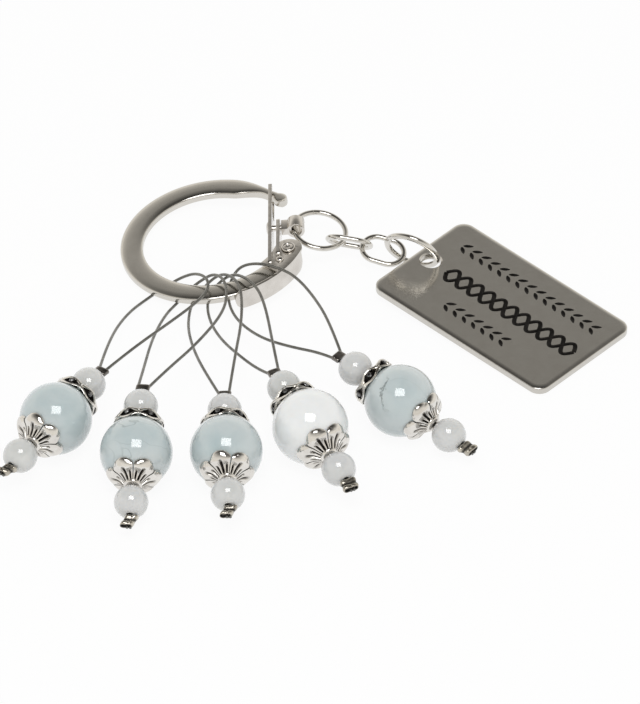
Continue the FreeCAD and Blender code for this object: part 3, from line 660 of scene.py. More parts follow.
ring_nickel = metal("ring_nickel", (0.66, 0.635, 0.59), (0.63, 0.605, 0.56), 0.15, hair=0.08)
lever_nickel = metal("lever_nickel", (0.72, 0.69, 0.65), (0.60, 0.57, 0.53), 0.12, dents=0.15)
rivet_nickel = metal("rivet_nickel", (0.74, 0.71, 0.67), (0.62, 0.59, 0.55), 0.14)
chain_nickel = metal("chain_nickel", (0.72, 0.70, 0.66), (0.60, 0.58, 0.54), 0.10)
tag_steel = metal("tag_steel", (0.62, 0.60, 0.56), (0.585, 0.56, 0.52), 0.17, hair=0.15)
engraving_black = metal("engraving_black", (0.020, 0.019, 0.018), (0.035, 0.032, 0.03), 0.45)
# The crimps' dark hollow tones are painted shade, laid in their mouths and in the end crimp's
# pinch.
crimp_gunmetal = metal("crimp_gunmetal", (0.30, 0.28, 0.26), (0.16, 0.15, 0.14), 0.20,
                       hollow_shade_and_patina=(0.02, 0.02, 0.02), dents=0.6)
crimp_nickel = metal("crimp_nickel", (0.66, 0.62, 0.54), (0.40, 0.37, 0.32), 0.18,
                     hollow_shade_and_patina=(0.03, 0.03, 0.03), dents=0.8)
antique_silver = metal("antique_silver", (0.80, 0.78, 0.74), (0.66, 0.63, 0.59), 0.13,
                       hollow_shade_and_patina=(0.025, 0.022, 0.02), dents=0.35)
# The spacer's grey hollow tone is painted shade between its plates, under its lower plate and
# toward its bore.
spacer_silver = metal("spacer_silver", (0.84, 0.82, 0.78), (0.70, 0.67, 0.62), 0.12,
                      hollow_shade_and_patina=(0.20, 0.19, 0.18), dents=0.25)
print("metals", 10)


# %% Stones and cable
def curved_vein(place):
    """Share of one dark thread that wanders down the near side of the last bead."""
    spot = add_node(place.id_data, "ShaderNodeSeparateXYZ", {0: place}).outputs
    sway = mottled(place, 330.0, -0.0009, 0.0009, detail=4.0, rough=0.65)
    line = plus(minus(spot["X"], 0.0113), sway)
    apart = add_node(place.id_data, "ShaderNodeVectorMath", {
        0: place, 1: (0.0115, -0.0190, 0.0104)}, operation="DISTANCE").outputs["Value"]
    thread = eased(calc("ABSOLUTE", line), 0.00004, 0.00028, 1.0, 0.0)
    near = eased(apart, 0.0016, 0.0036, 1.0, 0.0)
    return times(times(thread, near), mottled(place, 900.0, 0.25, 0.9))


def stone(name, tones, veins, roughness, softness, cloud=190.0):
    """Polished stone: clouds of three tones, thin veins, a clear polish, light let in."""
    material, tree, shader = new_material(name)
    place = object_place(tree)
    clouds = mottled(place, cloud, 0.0, 1.0, detail=4.0, distortion=0.8)
    patches = mottled(place, cloud * 0.45, 0.0, 1.0, detail=2.0, distortion=0.4)
    colour = mix_colour(clouds, tones[0], tones[1])
    colour = mix_colour(times(patches, 0.7), colour, tones[2])
    if veins:
        band = mottled(place, cloud * 0.45, 0.0, 1.0, rough=0.6, distortion=0.5)
        thread = eased(calc("ABSOLUTE", minus(band, 0.5)), 0.0, 0.03, veins, 0.0)
        where = mottled(place, cloud * 0.6, 0.0, 1.0, detail=1.0)
        faint = times(thread, calc("POWER", where, 3.0))
        colour = mix_colour(faint, colour, (0.19, 0.24, 0.24))
        colour = mix_colour(curved_vein(place), colour, (0.10, 0.12, 0.115))
    wire_up(shader, {
        "Base Color": colour,
        "Roughness": mottled(place, 1500.0, roughness * 0.8, roughness * 1.3),
        "Normal": raised(mottled(place, 2600.0, 0.0, 1.0), 0.05, 0.00002),
        "Subsurface Weight": softness, "Subsurface Radius": (0.9, 1.0, 1.1),
        "Subsurface Scale": 0.0022, "IOR": 1.54, "Coat Weight": 1.0, "Coat Roughness": 0.03})
    return material


pale_blue_stone = stone("pale_blue_stone", ((0.44, 0.53, 0.545), (0.53, 0.60, 0.61),
                                            (0.60, 0.635, 0.635)), 0.45, 0.12, 0.35)
white_stone = stone("white_stone", ((0.82, 0.84, 0.84), (0.88, 0.89, 0.89), (0.84, 0.85, 0.85)),
                    0.0, 0.10, 0.35)
milk_glass = stone("milk_glass", ((0.58, 0.59, 0.57), (0.66, 0.665, 0.65), (0.62, 0.62, 0.63)),
                   0.0, 0.10, 0.4, cloud=260.0)


def black_glass():
    """Cut black glass: deep, hard and very glossy, a touch uneven."""
    material, tree, shader = new_material("black_glass")
    place = object_place(tree)
    wire_up(shader, {
        "Base Color": mix_colour(mottled(place, 2500.0, 0.0, 1.0), (0.004, 0.004, 0.005),
                                 (0.02, 0.019, 0.02)),
        "Roughness": mottled(place, 3000.0, 0.02, 0.09), "IOR": 2.1, "Coat Weight": 1.0,
        "Coat Roughness": 0.02})
    return material


def coated_cable():
    """Clear-coated steel cable: the lay of the strands shows as slanting ridges, with painted shade
    in the grooves.
    """
    material, tree, shader = new_material("coated_cable")
    place = object_place(tree)
    along = add_node(tree, "ShaderNodeAttribute", attribute_name="along").outputs["Fac"]
    lay = calc("ABSOLUTE", calc("SINE", times(along, 11.0)))
    tone = mix_colour(mottled(place, 600.0, 0.0, 1.0), (0.15, 0.148, 0.135), (0.26, 0.255, 0.23))
    # Painted shade: the colour is darkened in the grooves of the lay, between the ridges.
    tone = mix_colour(times(minus(1.0, lay), 0.5), tone, (0.05, 0.05, 0.045))
    wire_up(shader, {
        "Base Color": tone, "Roughness": mottled(place, 1400.0, 0.22, 0.38), "Metallic": 0.75,
        "Coat Weight": 0.6, "Coat Roughness": 0.15, "Normal": raised(lay, 0.5, 0.00003)})
    return material


cut_black_glass = black_glass()
cable_coat = coated_cable()
print("stones and cable", 5)

for number, (loop, path, join) in enumerate(loops, start=1):
    loop.data.materials.append(cable_coat)
    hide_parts("marker_%d_cable" % number)
    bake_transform(loop)
print("loops declared", len(loops))

# %% [markdown]
# ## Clasp ring
# The ring is one flat nickel band bent into an open C. It is a main piece whose shape follows a
# rule, so a node tree grows it: a grid is bent round the ring, and each row of the grid becomes a
# rounded section whose width depends on the angle. The width shrinks to a neck, swells into the
# knob that the lever's fork holds, and closes as a round eye at the pivot. Rows are packed
# closer at both ends, where the width changes fastest.

# %% Node tree of the band
outer_r, lug_r = 15.55, 1.65
taper_from, taper_to, lug_join = 75.0, 49.0, 14.0   # degrees round the ring
end_packing = 0.93        # how much closer the rows stand at both ends
squareness = 0.42         # 1 is a round section, 0 a square one
crown_drop = 0.16         # how far the faces fall toward the edges
thin_below = 0.62         # half width under which the band also gets thinner


def lerp(share, first, second):
    """Value between two values."""
    return plus(first, times(share, minus(second, first)))


def half_chord(radius, away):
    """Half the width of a circle at a distance from its middle."""
    inside = minus(calc("POWER", radius, 2.0), calc("POWER", away, 2.0))
    return calc("SQRT", calc("MAXIMUM", inside, 0.0))


def squared(value):
    """Keeps the sign and pushes the value outward, which squares the circle."""
    return times(calc("SIGN", value), calc("POWER", calc("ABSOLUTE", value), squareness))


def row_sizes(size, share):
    """Angle of a row round the ring, the radius of its middle and half its width."""
    full_turn = 2 * math.pi
    wave = calc("SINE", times(share, full_turn))
    packed = minus(share, times(wave, end_packing / full_turn))
    outer, knob_angle, eye_angle = size["Outer radius"], size["Knob angle"], size["Eye angle"]
    band_mid = minus(outer, times(size["Band width"], 0.5))
    neck_mid = minus(outer, size["Neck inset"])
    knob_mid = minus(outer, size["Knob inset"])
    eye_mid = minus(outer, size["Eye radius"])
    knob_reach = calc("DEGREES", calc("DIVIDE", size["Knob radius"], knob_mid))
    eye_reach = calc("DEGREES", calc("DIVIDE", size["Eye radius"], eye_mid))
    angle = lerp(packed, minus(knob_angle, knob_reach), plus(eye_angle, eye_reach))
    back = times(angle, -1.0)
    narrow = eased(back, -taper_from, -taper_to)
    to_knob = eased(back, -taper_to, times(knob_angle, -1.0))
    to_eye = eased(angle, minus(eye_angle, lug_join), eye_angle)
    middle = lerp(to_eye, lerp(to_knob, lerp(narrow, band_mid, neck_mid), knob_mid), eye_mid)
    half = lerp(narrow, times(size["Band width"], 0.5), times(size["Neck width"], 0.5))
    half = lerp(to_eye, half, size["Eye radius"])
    knob_away = times(calc("RADIANS", minus(angle, knob_angle)), knob_mid)
    eye_away = times(calc("RADIANS", minus(angle, eye_angle)), eye_mid)
    plain = times(times(half, calc("GREATER_THAN", angle, knob_angle)),
                  calc("LESS_THAN", angle, eye_angle))
    knob = times(half_chord(size["Knob radius"], knob_away), calc("LESS_THAN", angle, 60.0))
    eye = times(half_chord(size["Eye radius"], eye_away), calc("GREATER_THAN", angle, eye_angle))
    return angle, middle, calc("MAXIMUM", calc("MAXIMUM", plain, knob), eye)


def band_nodes(tree, size, target):
    """Lays the grid round the ring and shapes its rows."""
    grid = add_node(tree, "GeometryNodeMeshGrid", {"Vertices X": 521, "Vertices Y": 65})
    share = add_node(tree, "ShaderNodeSeparateXYZ", {0: grid.outputs["UV Map"]}).outputs
    angle, middle, width = row_sizes(size, share["X"])
    thin_end = calc("MINIMUM", calc("DIVIDE", width, thin_below), 1.0)
    rise = times(times(size["Thickness"], 0.5), calc("POWER", thin_end, 0.5))
    turn = times(share["Y"], 2 * math.pi)
    side, up = squared(calc("COSINE", turn)), squared(calc("SINE", turn))
    crown = minus(1.0, times(crown_drop, times(side, side)))
    radius = plus(middle, times(side, width))
    bend = calc("RADIANS", angle)
    spot = point(tree, X=times(radius, calc("COSINE", bend)),
                 Y=times(radius, calc("SINE", bend)), Z=times(times(up, rise), crown))
    shaped = chain_nodes(grid.outputs["Mesh"], [
        ("GeometryNodeSetPosition", {}, {"Position": spot}),
        ("GeometryNodeMergeByDistance", {}, {"Distance": 0.0008})])
    deliver(shaped, size["Material"], target)


band_tree, band_size, band_end = new_tree(
    "band_round_the_ring", Outer_radius="Float", Band_width="Float", Thickness="Float",
    Neck_width="Float", Neck_inset="Float", Knob_radius="Float", Knob_inset="Float",
    Knob_angle="Float", Eye_radius="Float", Eye_angle="Float", Material="Material")
band_nodes(band_tree, band_size, band_end)
clasp_ring = grow(
    band_tree, "clasp_ring", crease=60.0, weld=0.0008, Outer_radius=outer_r, Band_width=3.8,
    Thickness=1.7, Neck_width=1.4, Neck_inset=1.3, Knob_radius=1.15, Knob_inset=0.96,
    Knob_angle=38.6, Eye_radius=lug_r, Eye_angle=338.0, Material=ring_nickel)
put(clasp_ring, ring_place)
dress(clasp_ring, "root", "hoop_nickel", None, "hoop")
print("ring faces", len(clasp_ring.data.polygons))

# %% [markdown]
# ## Lever, strap and rivets
# The lever is stamped and folded from sheet. Its flat outlines are already exact in the CAD
# piece, so a copy is taken, its triangles are joined to clean faces and every edge gets the small
# round that tumbling and plating leave. Light catches in that round. The rivets are turned.

# %% Tumbled copies of the sheet pieces
def tumbled(name, node, edge, crease=32.0):
    """Copy of a CAD node with clean faces and softly rounded edges."""
    bm = bmesh.new()
    bm.from_mesh(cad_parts[node].data)
    bmesh.ops.remove_doubles(bm, verts=bm.verts, dist=1e-6)
    bmesh.ops.dissolve_limit(bm, angle_limit=math.radians(1.0), verts=bm.verts, edges=bm.edges)
    mesh = bpy.data.meshes.new(name)
    write_back(bm, mesh)
    copy = new_object(name, mesh)
    rounder = copy.modifiers.new("edge", "BEVEL")
    rounder.width = edge * MM
    rounder.segments = 3
    rounder.limit_method = "ANGLE"
    rounder.angle_limit = math.radians(crease)
    rounder.harden_normals = False
    made = evaluated_mesh(copy)
    bpy.data.objects.remove(copy)
    made.name = name
    finish_mesh(made, crease)
    return new_object(name, made)


lever = tumbled("sheet_lever", "gate_lever", 0.12)
dress(lever, "gate", "lever_nickel", [lever_nickel], "gate_lever")
strap = tumbled("curled_strap", "swivel_strap", 0.10)
dress(strap, "swivel", "lever_nickel", [lever_nickel], "swivel_strap")
print("lever faces", len(lever.data.polygons), "strap faces", len(strap.data.polygons))

# %% Turned rivets and stud
def on_ring(angle):
    """Place on the pivot's circle, in the ring's plane."""
    bend = math.radians(angle)
    return (outer_r - lug_r) * Vector((math.cos(bend), math.sin(bend), 0))


pivot_at = on_ring(-22)
pivot_profile = soften([
    (0, -1.30), (0.55, -1.29), (0.98, -1.16), (1.20, -0.92), (1.18, -0.85), (0.80, -0.85),
    (0.80, 1.40), (1.16, 1.40), (1.20, 1.52), (1.14, 1.72), (0.96, 1.83), (0.74, 1.84),
    (0.60, 1.74), (0.50, 1.58), (0.28, 1.50), (0, 1.49)])
pivot_rivet = turned("swaged_pivot", pivot_profile, steps=64)
put(pivot_rivet, ring_place @ Matrix.Translation(pivot_at))
dress(pivot_rivet, "root", "rivet_nickel", [rivet_nickel], "pivot_rivet")

stud_profile = soften([(0, 0.90), (0.40, 0.90), (0.40, 1.35), (0.70, 1.352), (0.69, 1.46),
                       (0.55, 1.64), (0.30, 1.74), (0, 1.75)])
stud = turned("round_stud", stud_profile, steps=48)
put(stud, ring_place @ Matrix.Translation(on_ring(-34.5)))
dress(stud, "gate", "rivet_nickel", [rivet_nickel], "detent_stud")

sheet_t, blade_offset, ear_gap, curl_reach = 0.6, 3.04, 0.75, 2.5
blade_left = pivot_at.x - blade_offset - sheet_t / 2
curl_x = blade_left + 2 * sheet_t + ear_gap + curl_reach
head_at, shank_end = blade_left - 0.05, curl_x - 1.5
turning_profile = soften([(0, head_at - 0.45), (0.5, head_at - 0.43), (0.95, head_at - 0.30),
                          (1.19, head_at - 0.08), (1.17, head_at), (0.5, head_at),
                          (0.5, shank_end), (0, shank_end)])
turning_rivet = turned("turning_rivet", turning_profile, steps=56)
put(turning_rivet, ring_place @ axes((0, 0, -1), (0, 1, 0), (1, 0, 0), (0, 1.6, 0.2)))
dress(turning_rivet, "swivel", "rivet_nickel", [rivet_nickel], "swivel_rivet")
print("rivets at", [round(x, 2) for x in pivot_at], round(head_at, 2))

# %% [markdown]
# ## Chain
# The four chain pieces are bent from round wire, and each real one has a hairline joint where the
# ends meet. A node tree draws a rounded rectangle, opens it by one step to leave that joint, and
# runs the wire along it. A square with fully rounded corners is a round ring, so one tree serves
# the rings and the oval links.

# %% Node tree of a wire link
def link_nodes(tree, size, target):
    """Rounded rectangle, opened by one step, with round wire along it."""
    outline = add_node(tree, "GeometryNodeCurvePrimitiveQuadrilateral", {
        "Width": size["Length"], "Height": size["Width"]})
    path = chain_nodes(outline.outputs["Curve"], [
        ("GeometryNodeFilletCurve", {"mode": "POLY"},
         {"Count": 48, "Radius": times(size["Width"], 0.4999)}),
        ("GeometryNodeResampleCurve", {}, {"Count": size["Steps"]}),
        ("GeometryNodeSetSplineCyclic", {}, {"Cyclic": False})])
    deliver(wire_along(path, size["Wire"], 24), size["Material"], target)


link_tree, link_size, link_end = new_tree(
    "bent_wire_link", Length="Float", Width="Float", Wire="Float", Steps="Int",
    Material="Material")
link_nodes(link_tree, link_size, link_end)
print("link tree nodes", len(link_tree.nodes))


def lying(normal, along, centre):
    """Matrix of a flat piece by its normal, roughly its long way, and its middle."""
    up = Vector(normal).normalized()
    way = (Vector(along) - up * Vector(along).dot(up)).normalized()
    return axes(way, up.cross(way), up, centre)


# %% The two rings and the two links
chain = (
    ("jump_ring_a", "ring_a", (8.76, 8.76, 0.9), (0.143, -0.056, 0.989), (-0.3, 1, 0),
     (0.62, 29.84, 4.25)),
    ("oval_link_b", "link_b", (7.2, 4.9, 0.9), (0.168, 0.788, 0.592), (0.98, -0.10, -0.14),
     (5.55, 28.11, 3.15)),
    ("oval_link_c", "link_c", (7.1, 5.1, 0.9), (0.069, -0.228, 0.971), (0.928, -0.240, -0.283),
     (11.18, 26.41, 2.73)),
    ("jump_ring_d", "ring_d", (8.8, 8.8, 1.0), (0.349, 0.865, 0.361), (0.2, 0, -1),
     (16.01, 24.13, 4.64)),
)
for name, node, (length, width, wire), normal, along, centre in chain:
    piece = grow(link_tree, name, crease=50.0, Length=length, Width=width, Wire=wire,
                 Steps=int((2 * (length - width) + math.pi * width) / 0.07), Material=chain_nickel)
    put(piece, lying(normal, along, centre))
    dress(piece, node, "chain_nickel", None, node)
    print(name, "faces", len(piece.data.polygons))

# %% [markdown]
# ## Tag
# The tag is a thick plate with rolled edges, a hole for its ring, and rows of blackened
# engraving. The rows here are plain knitting marks: small ones of paired leaves, as a column of
# knit stitches looks, and a large one of two strands twisted round each other. A node tree lays
# the leaves out and another draws a strand, and both are then cut into the plate, so that the
# marks are real hollows with their own black finish.

# %% Plate with rolled edges
tag_l, tag_w, tag_t, hole_in = 38.0, 23.0, 1.5, 3.1


def plate_outline(inset, height):
    """Rounded rectangle of the tag, drawn in by an inset, at a height."""
    radius = 2.2 - inset * 0.6
    points = []
    for turn, (x, y) in enumerate(((1, 1), (-1, 1), (-1, -1), (1, -1))):
        middle = (x * (tag_l / 2 - inset - radius) + tag_l / 2 - hole_in,
                  y * (tag_w / 2 - inset - radius))
        for bend in np.linspace(0, math.pi / 2, 14):
            angle = turn * math.pi / 2 + bend
            points.append((middle[0] + radius * math.cos(angle),
                           middle[1] + radius * math.sin(angle), height))
    return points


roll = [(0.85 * (1 - math.cos(bend)) ** 1.1, tag_t - 0.32 * (1 - math.sin(bend)))
        for bend in np.linspace(0, math.pi / 2, 10)]
steps = ([(1.4, 0.0), (0.95, 0.0)] + [(inset * 0.9, tag_t - height) for inset, height in roll[::-1]]
         + roll + [(0.95, tag_t), (1.4, tag_t)])
plate = skin("metal_tag", [plate_outline(inset, height) for inset, height in steps])
plate.data.materials.append(tag_steel)
print("plate faces", len(plate.data.polygons))

# %% Node trees of the stitch rows
def row_nodes(tree, size, target):
    """A line of leaves that lean one way, and its mirror row that leans the other way."""
    leaf = add_node(tree, "GeometryNodeObjectInfo", {"Object": size["Leaf"]})
    both = add_node(tree, "GeometryNodeJoinGeometry")
    for side in (-1, 1):
        line = add_node(tree, "GeometryNodeMeshLine", {
            "Count": size["Count"], "Offset": point(tree, X=size["Pitch"]),
            "Start Location": point(tree, Y=times(size["Apart"], side))})
        copies = add_node(tree, "GeometryNodeInstanceOnPoints", {
            "Points": line.outputs["Mesh"], "Instance": leaf.outputs["Geometry"],
            "Rotation": point(tree, Z=times(size["Lean"], side))})
        wire_up(both, {0: copies.outputs["Instances"]})
    deliver(both.outputs[0], size["Material"], target)


def strand_nodes(tree, size, target):
    """A round strand that swings from side to side along a line."""
    count = 200
    line = add_node(tree, "GeometryNodeMeshLine", {"Count": count})
    share = calc("DIVIDE", add_node(tree, "GeometryNodeInputIndex").outputs[0], count - 1.0)
    turn = plus(size["Start"], times(times(share, size["Waves"]), 2 * math.pi))
    spot = point(tree, X=times(share, size["Length"]), Y=times(calc("SINE", turn), size["Swing"]))
    path = chain_nodes(line.outputs["Mesh"], [
        ("GeometryNodeSetPosition", {}, {"Position": spot}),
        ("GeometryNodeMeshToCurve", {}, {})])
    deliver(wire_along(path, size["Thickness"], 12), size["Material"], target)


row_tree, row_size, row_end = new_tree(
    "row_of_leaves", Count="Int", Pitch="Float", Leaf="Object", Lean="Float", Apart="Float",
    Material="Material")
row_nodes(row_tree, row_size, row_end)
strand_tree, strand_size, strand_end = new_tree(
    "twisted_strand", Length="Float", Waves="Float", Swing="Float", Start="Float",
    Thickness="Float", Material="Material")
strand_nodes(strand_tree, strand_size, strand_end)
print("stitch trees", row_tree.name, strand_tree.name)


# %% Cut the hole and the marks
def leaf_shape(length, width, depth):
    """Drop-shaped tool: pointed at one end and full at the other."""
    rows = []
    for share in np.linspace(0, 1, 15):
        full = math.sin(math.pi * share) ** 0.8 * (1.0 - 0.45 * share)
        turns = np.linspace(0, 2 * math.pi, 12, endpoint=False)
        rows.append([((share - 0.5) * length, full * width * math.cos(turn),
                      full * depth * math.sin(turn)) for turn in turns])
    return skin("leaf_tool", rows, weld=1e-4)


def carve(target, tools):
    """Cuts the tools out of the target, one after the other."""
    for tool in tools:
        cut = target.modifiers.new("cut", "BOOLEAN")
        cut.operation = "DIFFERENCE"
        cut.solver = "EXACT"
        cut.material_mode = "TRANSFER"
        cut.object = tool
    made = evaluated_mesh(target)
    target.modifiers.clear()
    target.data = made
    for tool in tools:
        bpy.data.objects.remove(tool)


def sharpen_cuts(mesh, face_height):
    """Keeps the upper face flat: every edge between it and a cut or slope is made sharp."""
    bm = bmesh.new()
    bm.from_mesh(mesh)
    for edge in bm.edges:
        flat = [abs(face.normal.z) > 0.9999
                and abs(face.calc_center_median().z - face_height) < 1e-4
                for face in edge.link_faces]
        if len(flat) == 2 and flat[0] != flat[1]:
            edge.smooth = False
    write_back(bm, mesh)


def at_face(tool, x, y, rise):
    """Moves a tool to a place on the tag's upper face."""
    tool.data.transform(Matrix.Translation((x, y, tag_t + rise)))
    return tool


small_leaf = leaf_shape(2.55, 0.52, 0.30)
tools = [turned("hole_tool", [(0, -1), (1.95, -1), (1.95, 0.0), (1.72, 0.22), (1.70, 0.30),
                              (1.70, 1.20), (1.72, 1.28), (1.95, 1.5), (1.95, 2.5), (0, 2.5)],
                crease=20)]
tools[0].data.materials.append(tag_steel)
for count, x, y in ((15, 2.2, 6.3), (7, 9.9, -6.4)):
    row = grow(row_tree, "row_tool", Count=count, Pitch=2.05, Leaf=small_leaf, Lean=0.66,
               Apart=0.78, Material=engraving_black)
    tools.append(at_face(row, x, y, 0.12))
for start in (0.0, math.pi):
    strand = grow(strand_tree, "strand_tool", Length=28.4, Waves=5.5, Swing=1.55,
                  Start=start, Thickness=0.94, Material=engraving_black)
    tools.append(at_face(strand, 3.9, -0.35, 0.26))
carve(plate, tools)
bpy.data.objects.remove(small_leaf)
finish_mesh(plate.data, 22.0)
sharpen_cuts(plate.data, tag_t)
put(plate, tag_place)
dress(plate, "tag", "tag_steel", None, "tag")
print("tag faces", len(plate.data.polygons), [m.name for m in plate.data.materials])

# %% [markdown]
# ## Beads
# A bead is a ball turned round its bore, with the bore's edge eased so that it doesn't cut the
# cable. The two small beads of a marker are milky, the large one is veined blue-grey stone, and
# one marker has a plain white stone instead.

# %% Balls with a bore
def ball(name, radius, middle, steps):
    """Bead round the Z axis with an eased bore."""
    low = math.asin((bore_r + 0.14) / radius)
    outer = [(radius * math.sin(turn), middle + radius * math.cos(turn))
             for turn in np.linspace(low, math.pi - low, steps * 2 // 3)]
    mouth = math.sqrt(radius ** 2 - bore_r ** 2) - 0.12
    walls = [(bore_r + 0.05, middle - mouth - 0.05), (bore_r, middle - mouth),
             (bore_r, middle + mouth), (bore_r + 0.05, middle + mouth + 0.05)]
    return turned(name, outer + walls, steps=steps)


for number, bead_r in enumerate(bead_radii, start=1):
    large = ball("stone_bead_%d" % number, bead_r, 0, 108)
    white = number == plain_marker
    dress_part(large, "beads", number, "large_bead",
               "large_bead_white" if white else "large_bead_blue",
               [white_stone if white else pale_blue_stone])
    top_bead, _, bottom_bead, _ = stations(bead_r)
    small = joined("milky_beads_%d" % number,
                   [ball("top_ball", small_bead_r, top_bead, 72),
                    ball("bottom_ball", small_bead_r, bottom_bead, 72)])
    dress_part(small, "beads", number, "small_beads", "small_bead_white", [milk_glass])
print("beads", 3 * len(frames))

# %% [markdown]
# ## Spacer with black stones
# Between the top bead and the stone sits a silver spacer: two thin plates whose rims wave toward
# each other between six cut black stones. Its section changes with the angle, so its rings are
# written as a formula. The stones and the posts between them repeat, so a node tree sets them
# round the axis.

# %% Node tree for copies round the axis
def ring_nodes(tree, size, target):
    """Sets copies of a piece round the Z axis at even turns."""
    piece = add_node(tree, "GeometryNodeObjectInfo", {"Object": size["Piece"]})
    line = add_node(tree, "GeometryNodeMeshLine", {"Count": size["Count"], "Offset": (0, 0, 0)})
    step = calc("DIVIDE", 2 * math.pi, size["Count"])
    index = add_node(tree, "GeometryNodeInputIndex").outputs[0]
    turn = plus(size["First turn"], times(index, step))
    copies = add_node(tree, "GeometryNodeInstanceOnPoints", {
        "Points": line.outputs["Mesh"], "Instance": piece.outputs["Geometry"],
        "Rotation": point(tree, Z=turn)})
    deliver(copies.outputs["Instances"], size["Material"], target)


ring_tree, ring_size, ring_end = new_tree(
    "copies_round_the_axis", Count="Int", First_turn="Float", Piece="Object",
    Material="Material")
ring_nodes(ring_tree, ring_size, ring_end)


def copies_round(name, piece, material, first_turn=0.0, crease=35.0):
    """Six copies of a piece round the axis as one mesh; the piece itself is used up."""
    made = grow(ring_tree, name, crease=crease, Count=6, First_turn=first_turn, Piece=piece,
                Material=material)
    bpy.data.objects.remove(piece)
    return made


print("copying tree", ring_tree.name)

# %% Waved plates, stones and posts
rim_r, hub_r, plate_t, rim_h, wave, stone_seat_r = 4.05, 2.2, 0.25, 2.0, 0.46, 3.5


def spacer_levels(bead_r):
    """Hug radius of the bead, rim's lower and upper height, and the top of the hub."""
    hug = bead_r + seat_gap
    low = math.sqrt(hug ** 2 - rim_r ** 2)
    return hug, low, low + rim_h, hug + hub_h


def spacer_rings(bead_r, steps=192):
    """Rings of the spacer's section, whose rims wave toward each other between the stones."""
    hug, low, high, top = spacer_levels(bead_r)
    rings, marks = [], []
    for angle in np.linspace(0, 2 * math.pi, steps, endpoint=False):
        near = (0.5 - 0.5 * math.cos(6 * angle)) ** 1.2
        lift, rim = wave * near, 0.30 + 0.22 * near

        def lower(radius):
            share = min(max((radius - 2.4) / (rim_r - 2.4), 0), 1) ** 1.5
            return math.sqrt(hug ** 2 - radius ** 2) + lift * share

        def upper(radius):
            share = min(max((radius - hub_r) / (rim_r - hub_r), 0), 1)
            return top + (high - top) * share ** 1.3 - lift * share ** 1.5

        # The third number of each point is its share of painted shade: some under the lower plate,
        # more between the plates toward the hub, full in the bore.
        section = [(r, lower(r), 0.3) for r in np.linspace(0.62, 3.95, 12)]
        section += [(4.04, lower(4.0) + 0.06, 0), (4.10, lower(4.0) + rim * 0.45, 0),
                    (4.08, lower(4.0) + rim * 0.9, 0), (3.94, lower(3.94) + rim + 0.06, 0)]
        section += [(r, lower(r) + plate_t, min(1, (3.9 - r) * 1.2))
                    for r in np.linspace(3.8, hub_r + 0.1, 7)]
        section += [(hub_r, lower(hub_r) + 0.35, 1), (hub_r, upper(hub_r) - 0.35, 1)]
        section += [(r, upper(r) - plate_t, min(1, (3.9 - r) * 1.2))
                    for r in np.linspace(hub_r + 0.1, 3.8, 7)]
        section += [(3.94, upper(3.94) - rim - 0.06, 0), (4.08, upper(4.0) - rim * 0.9, 0),
                    (4.10, upper(4.0) - rim * 0.45, 0), (4.04, upper(4.0) - 0.05, 0),
                    (3.95, upper(3.95) + 0.01, 0)]
        section += [(r, upper(r), 0) for r in np.linspace(3.8, hub_r, 7)]
        section += [(1.9, top - 0.01, 0.2), (1.2, top - 0.01, 0.5), (0.7, top - 0.02, 0.8),
                    (0.62, top - 0.1, 1)]
        rings.append([(r * math.cos(angle), r * math.sin(angle), z) for r, z, _ in section])
        marks.append([mark for _, _, mark in section])
    return rings, marks


def cut_stone(level, radius):
    """Round cut stone that faces outward along +X, seated at the back."""
    rows = [(stone_seat_r, 0.90, 0), (3.86, 0.97, 0), (3.93, 1.0, 0), (4.02, 0.84, 0.5),
            (4.13, 0.56, 0)]
    rings = [[(x, radius * share * math.cos((k + twist) * math.pi / 5),
               level + radius * share * math.sin((k + twist) * math.pi / 5)) for k in range(10)]
             for x, share, twist in rows]
    return skin("cut_stone", rings, crease=4.0)


def post(bead_r):
    """Short rounded post between two stones."""
    _, low, high, _ = spacer_levels(bead_r)
    bottom, top = low + wave, high - wave
    profile = soften([(0, bottom), (0.34, bottom), (0.44, bottom + 0.2), (0.33, bottom + 0.42),
                      (0.33, top - 0.42), (0.44, top - 0.2), (0.34, top), (0, top)])
    made = turned("post", profile, steps=20)
    made.data.transform(Matrix.Translation((3.72, 0, 0)))
    return made


for number, bead_r in enumerate(bead_radii, start=1):
    rings, marks = spacer_rings(bead_r)
    plates = skin("spacer_plates", rings, loop=True, painted_shade_and_patina=marks, crease=40.0)
    plates.data.materials.append(spacer_silver)
    posts = copies_round("posts", post(bead_r), spacer_silver, first_turn=math.pi / 6)
    spacer = joined("waved_spacer_%d" % number, [plates, posts], crease=40.0)
    dress_part(spacer, "beads", number, "rondelle_frame", "rondelle_silver")
    hug, low, high, _ = spacer_levels(bead_r)
    seat_floor = math.sqrt((hug + plate_t) ** 2 - stone_seat_r ** 2)
    roof = high - plate_t
    stone_piece = cut_stone((seat_floor + roof) / 2, (roof - seat_floor) / 2 - 0.06)
    gems = copies_round("black_stones_%d" % number, stone_piece, cut_black_glass, crease=4.0)
    dress_part(gems, "beads", number, "rondelle_stones", "stone_black")
print("spacers", len(frames), "faces each", len(spacer.data.polygons))

# %% [markdown]
# ## Petal cap
# The cap under the stone is stamped silver: six petals with bulging bright tips, and between the
# ribs of each petal the hollows are black. One petal is made as a skin whose rings run from the
# root to the tip on the bead's own curve, and the same tree sets six of them round the axis.

# %% One petal and the crown
petal_root, petal_tip, tip_half = math.radians(7.5), math.radians(46.5), 1.98


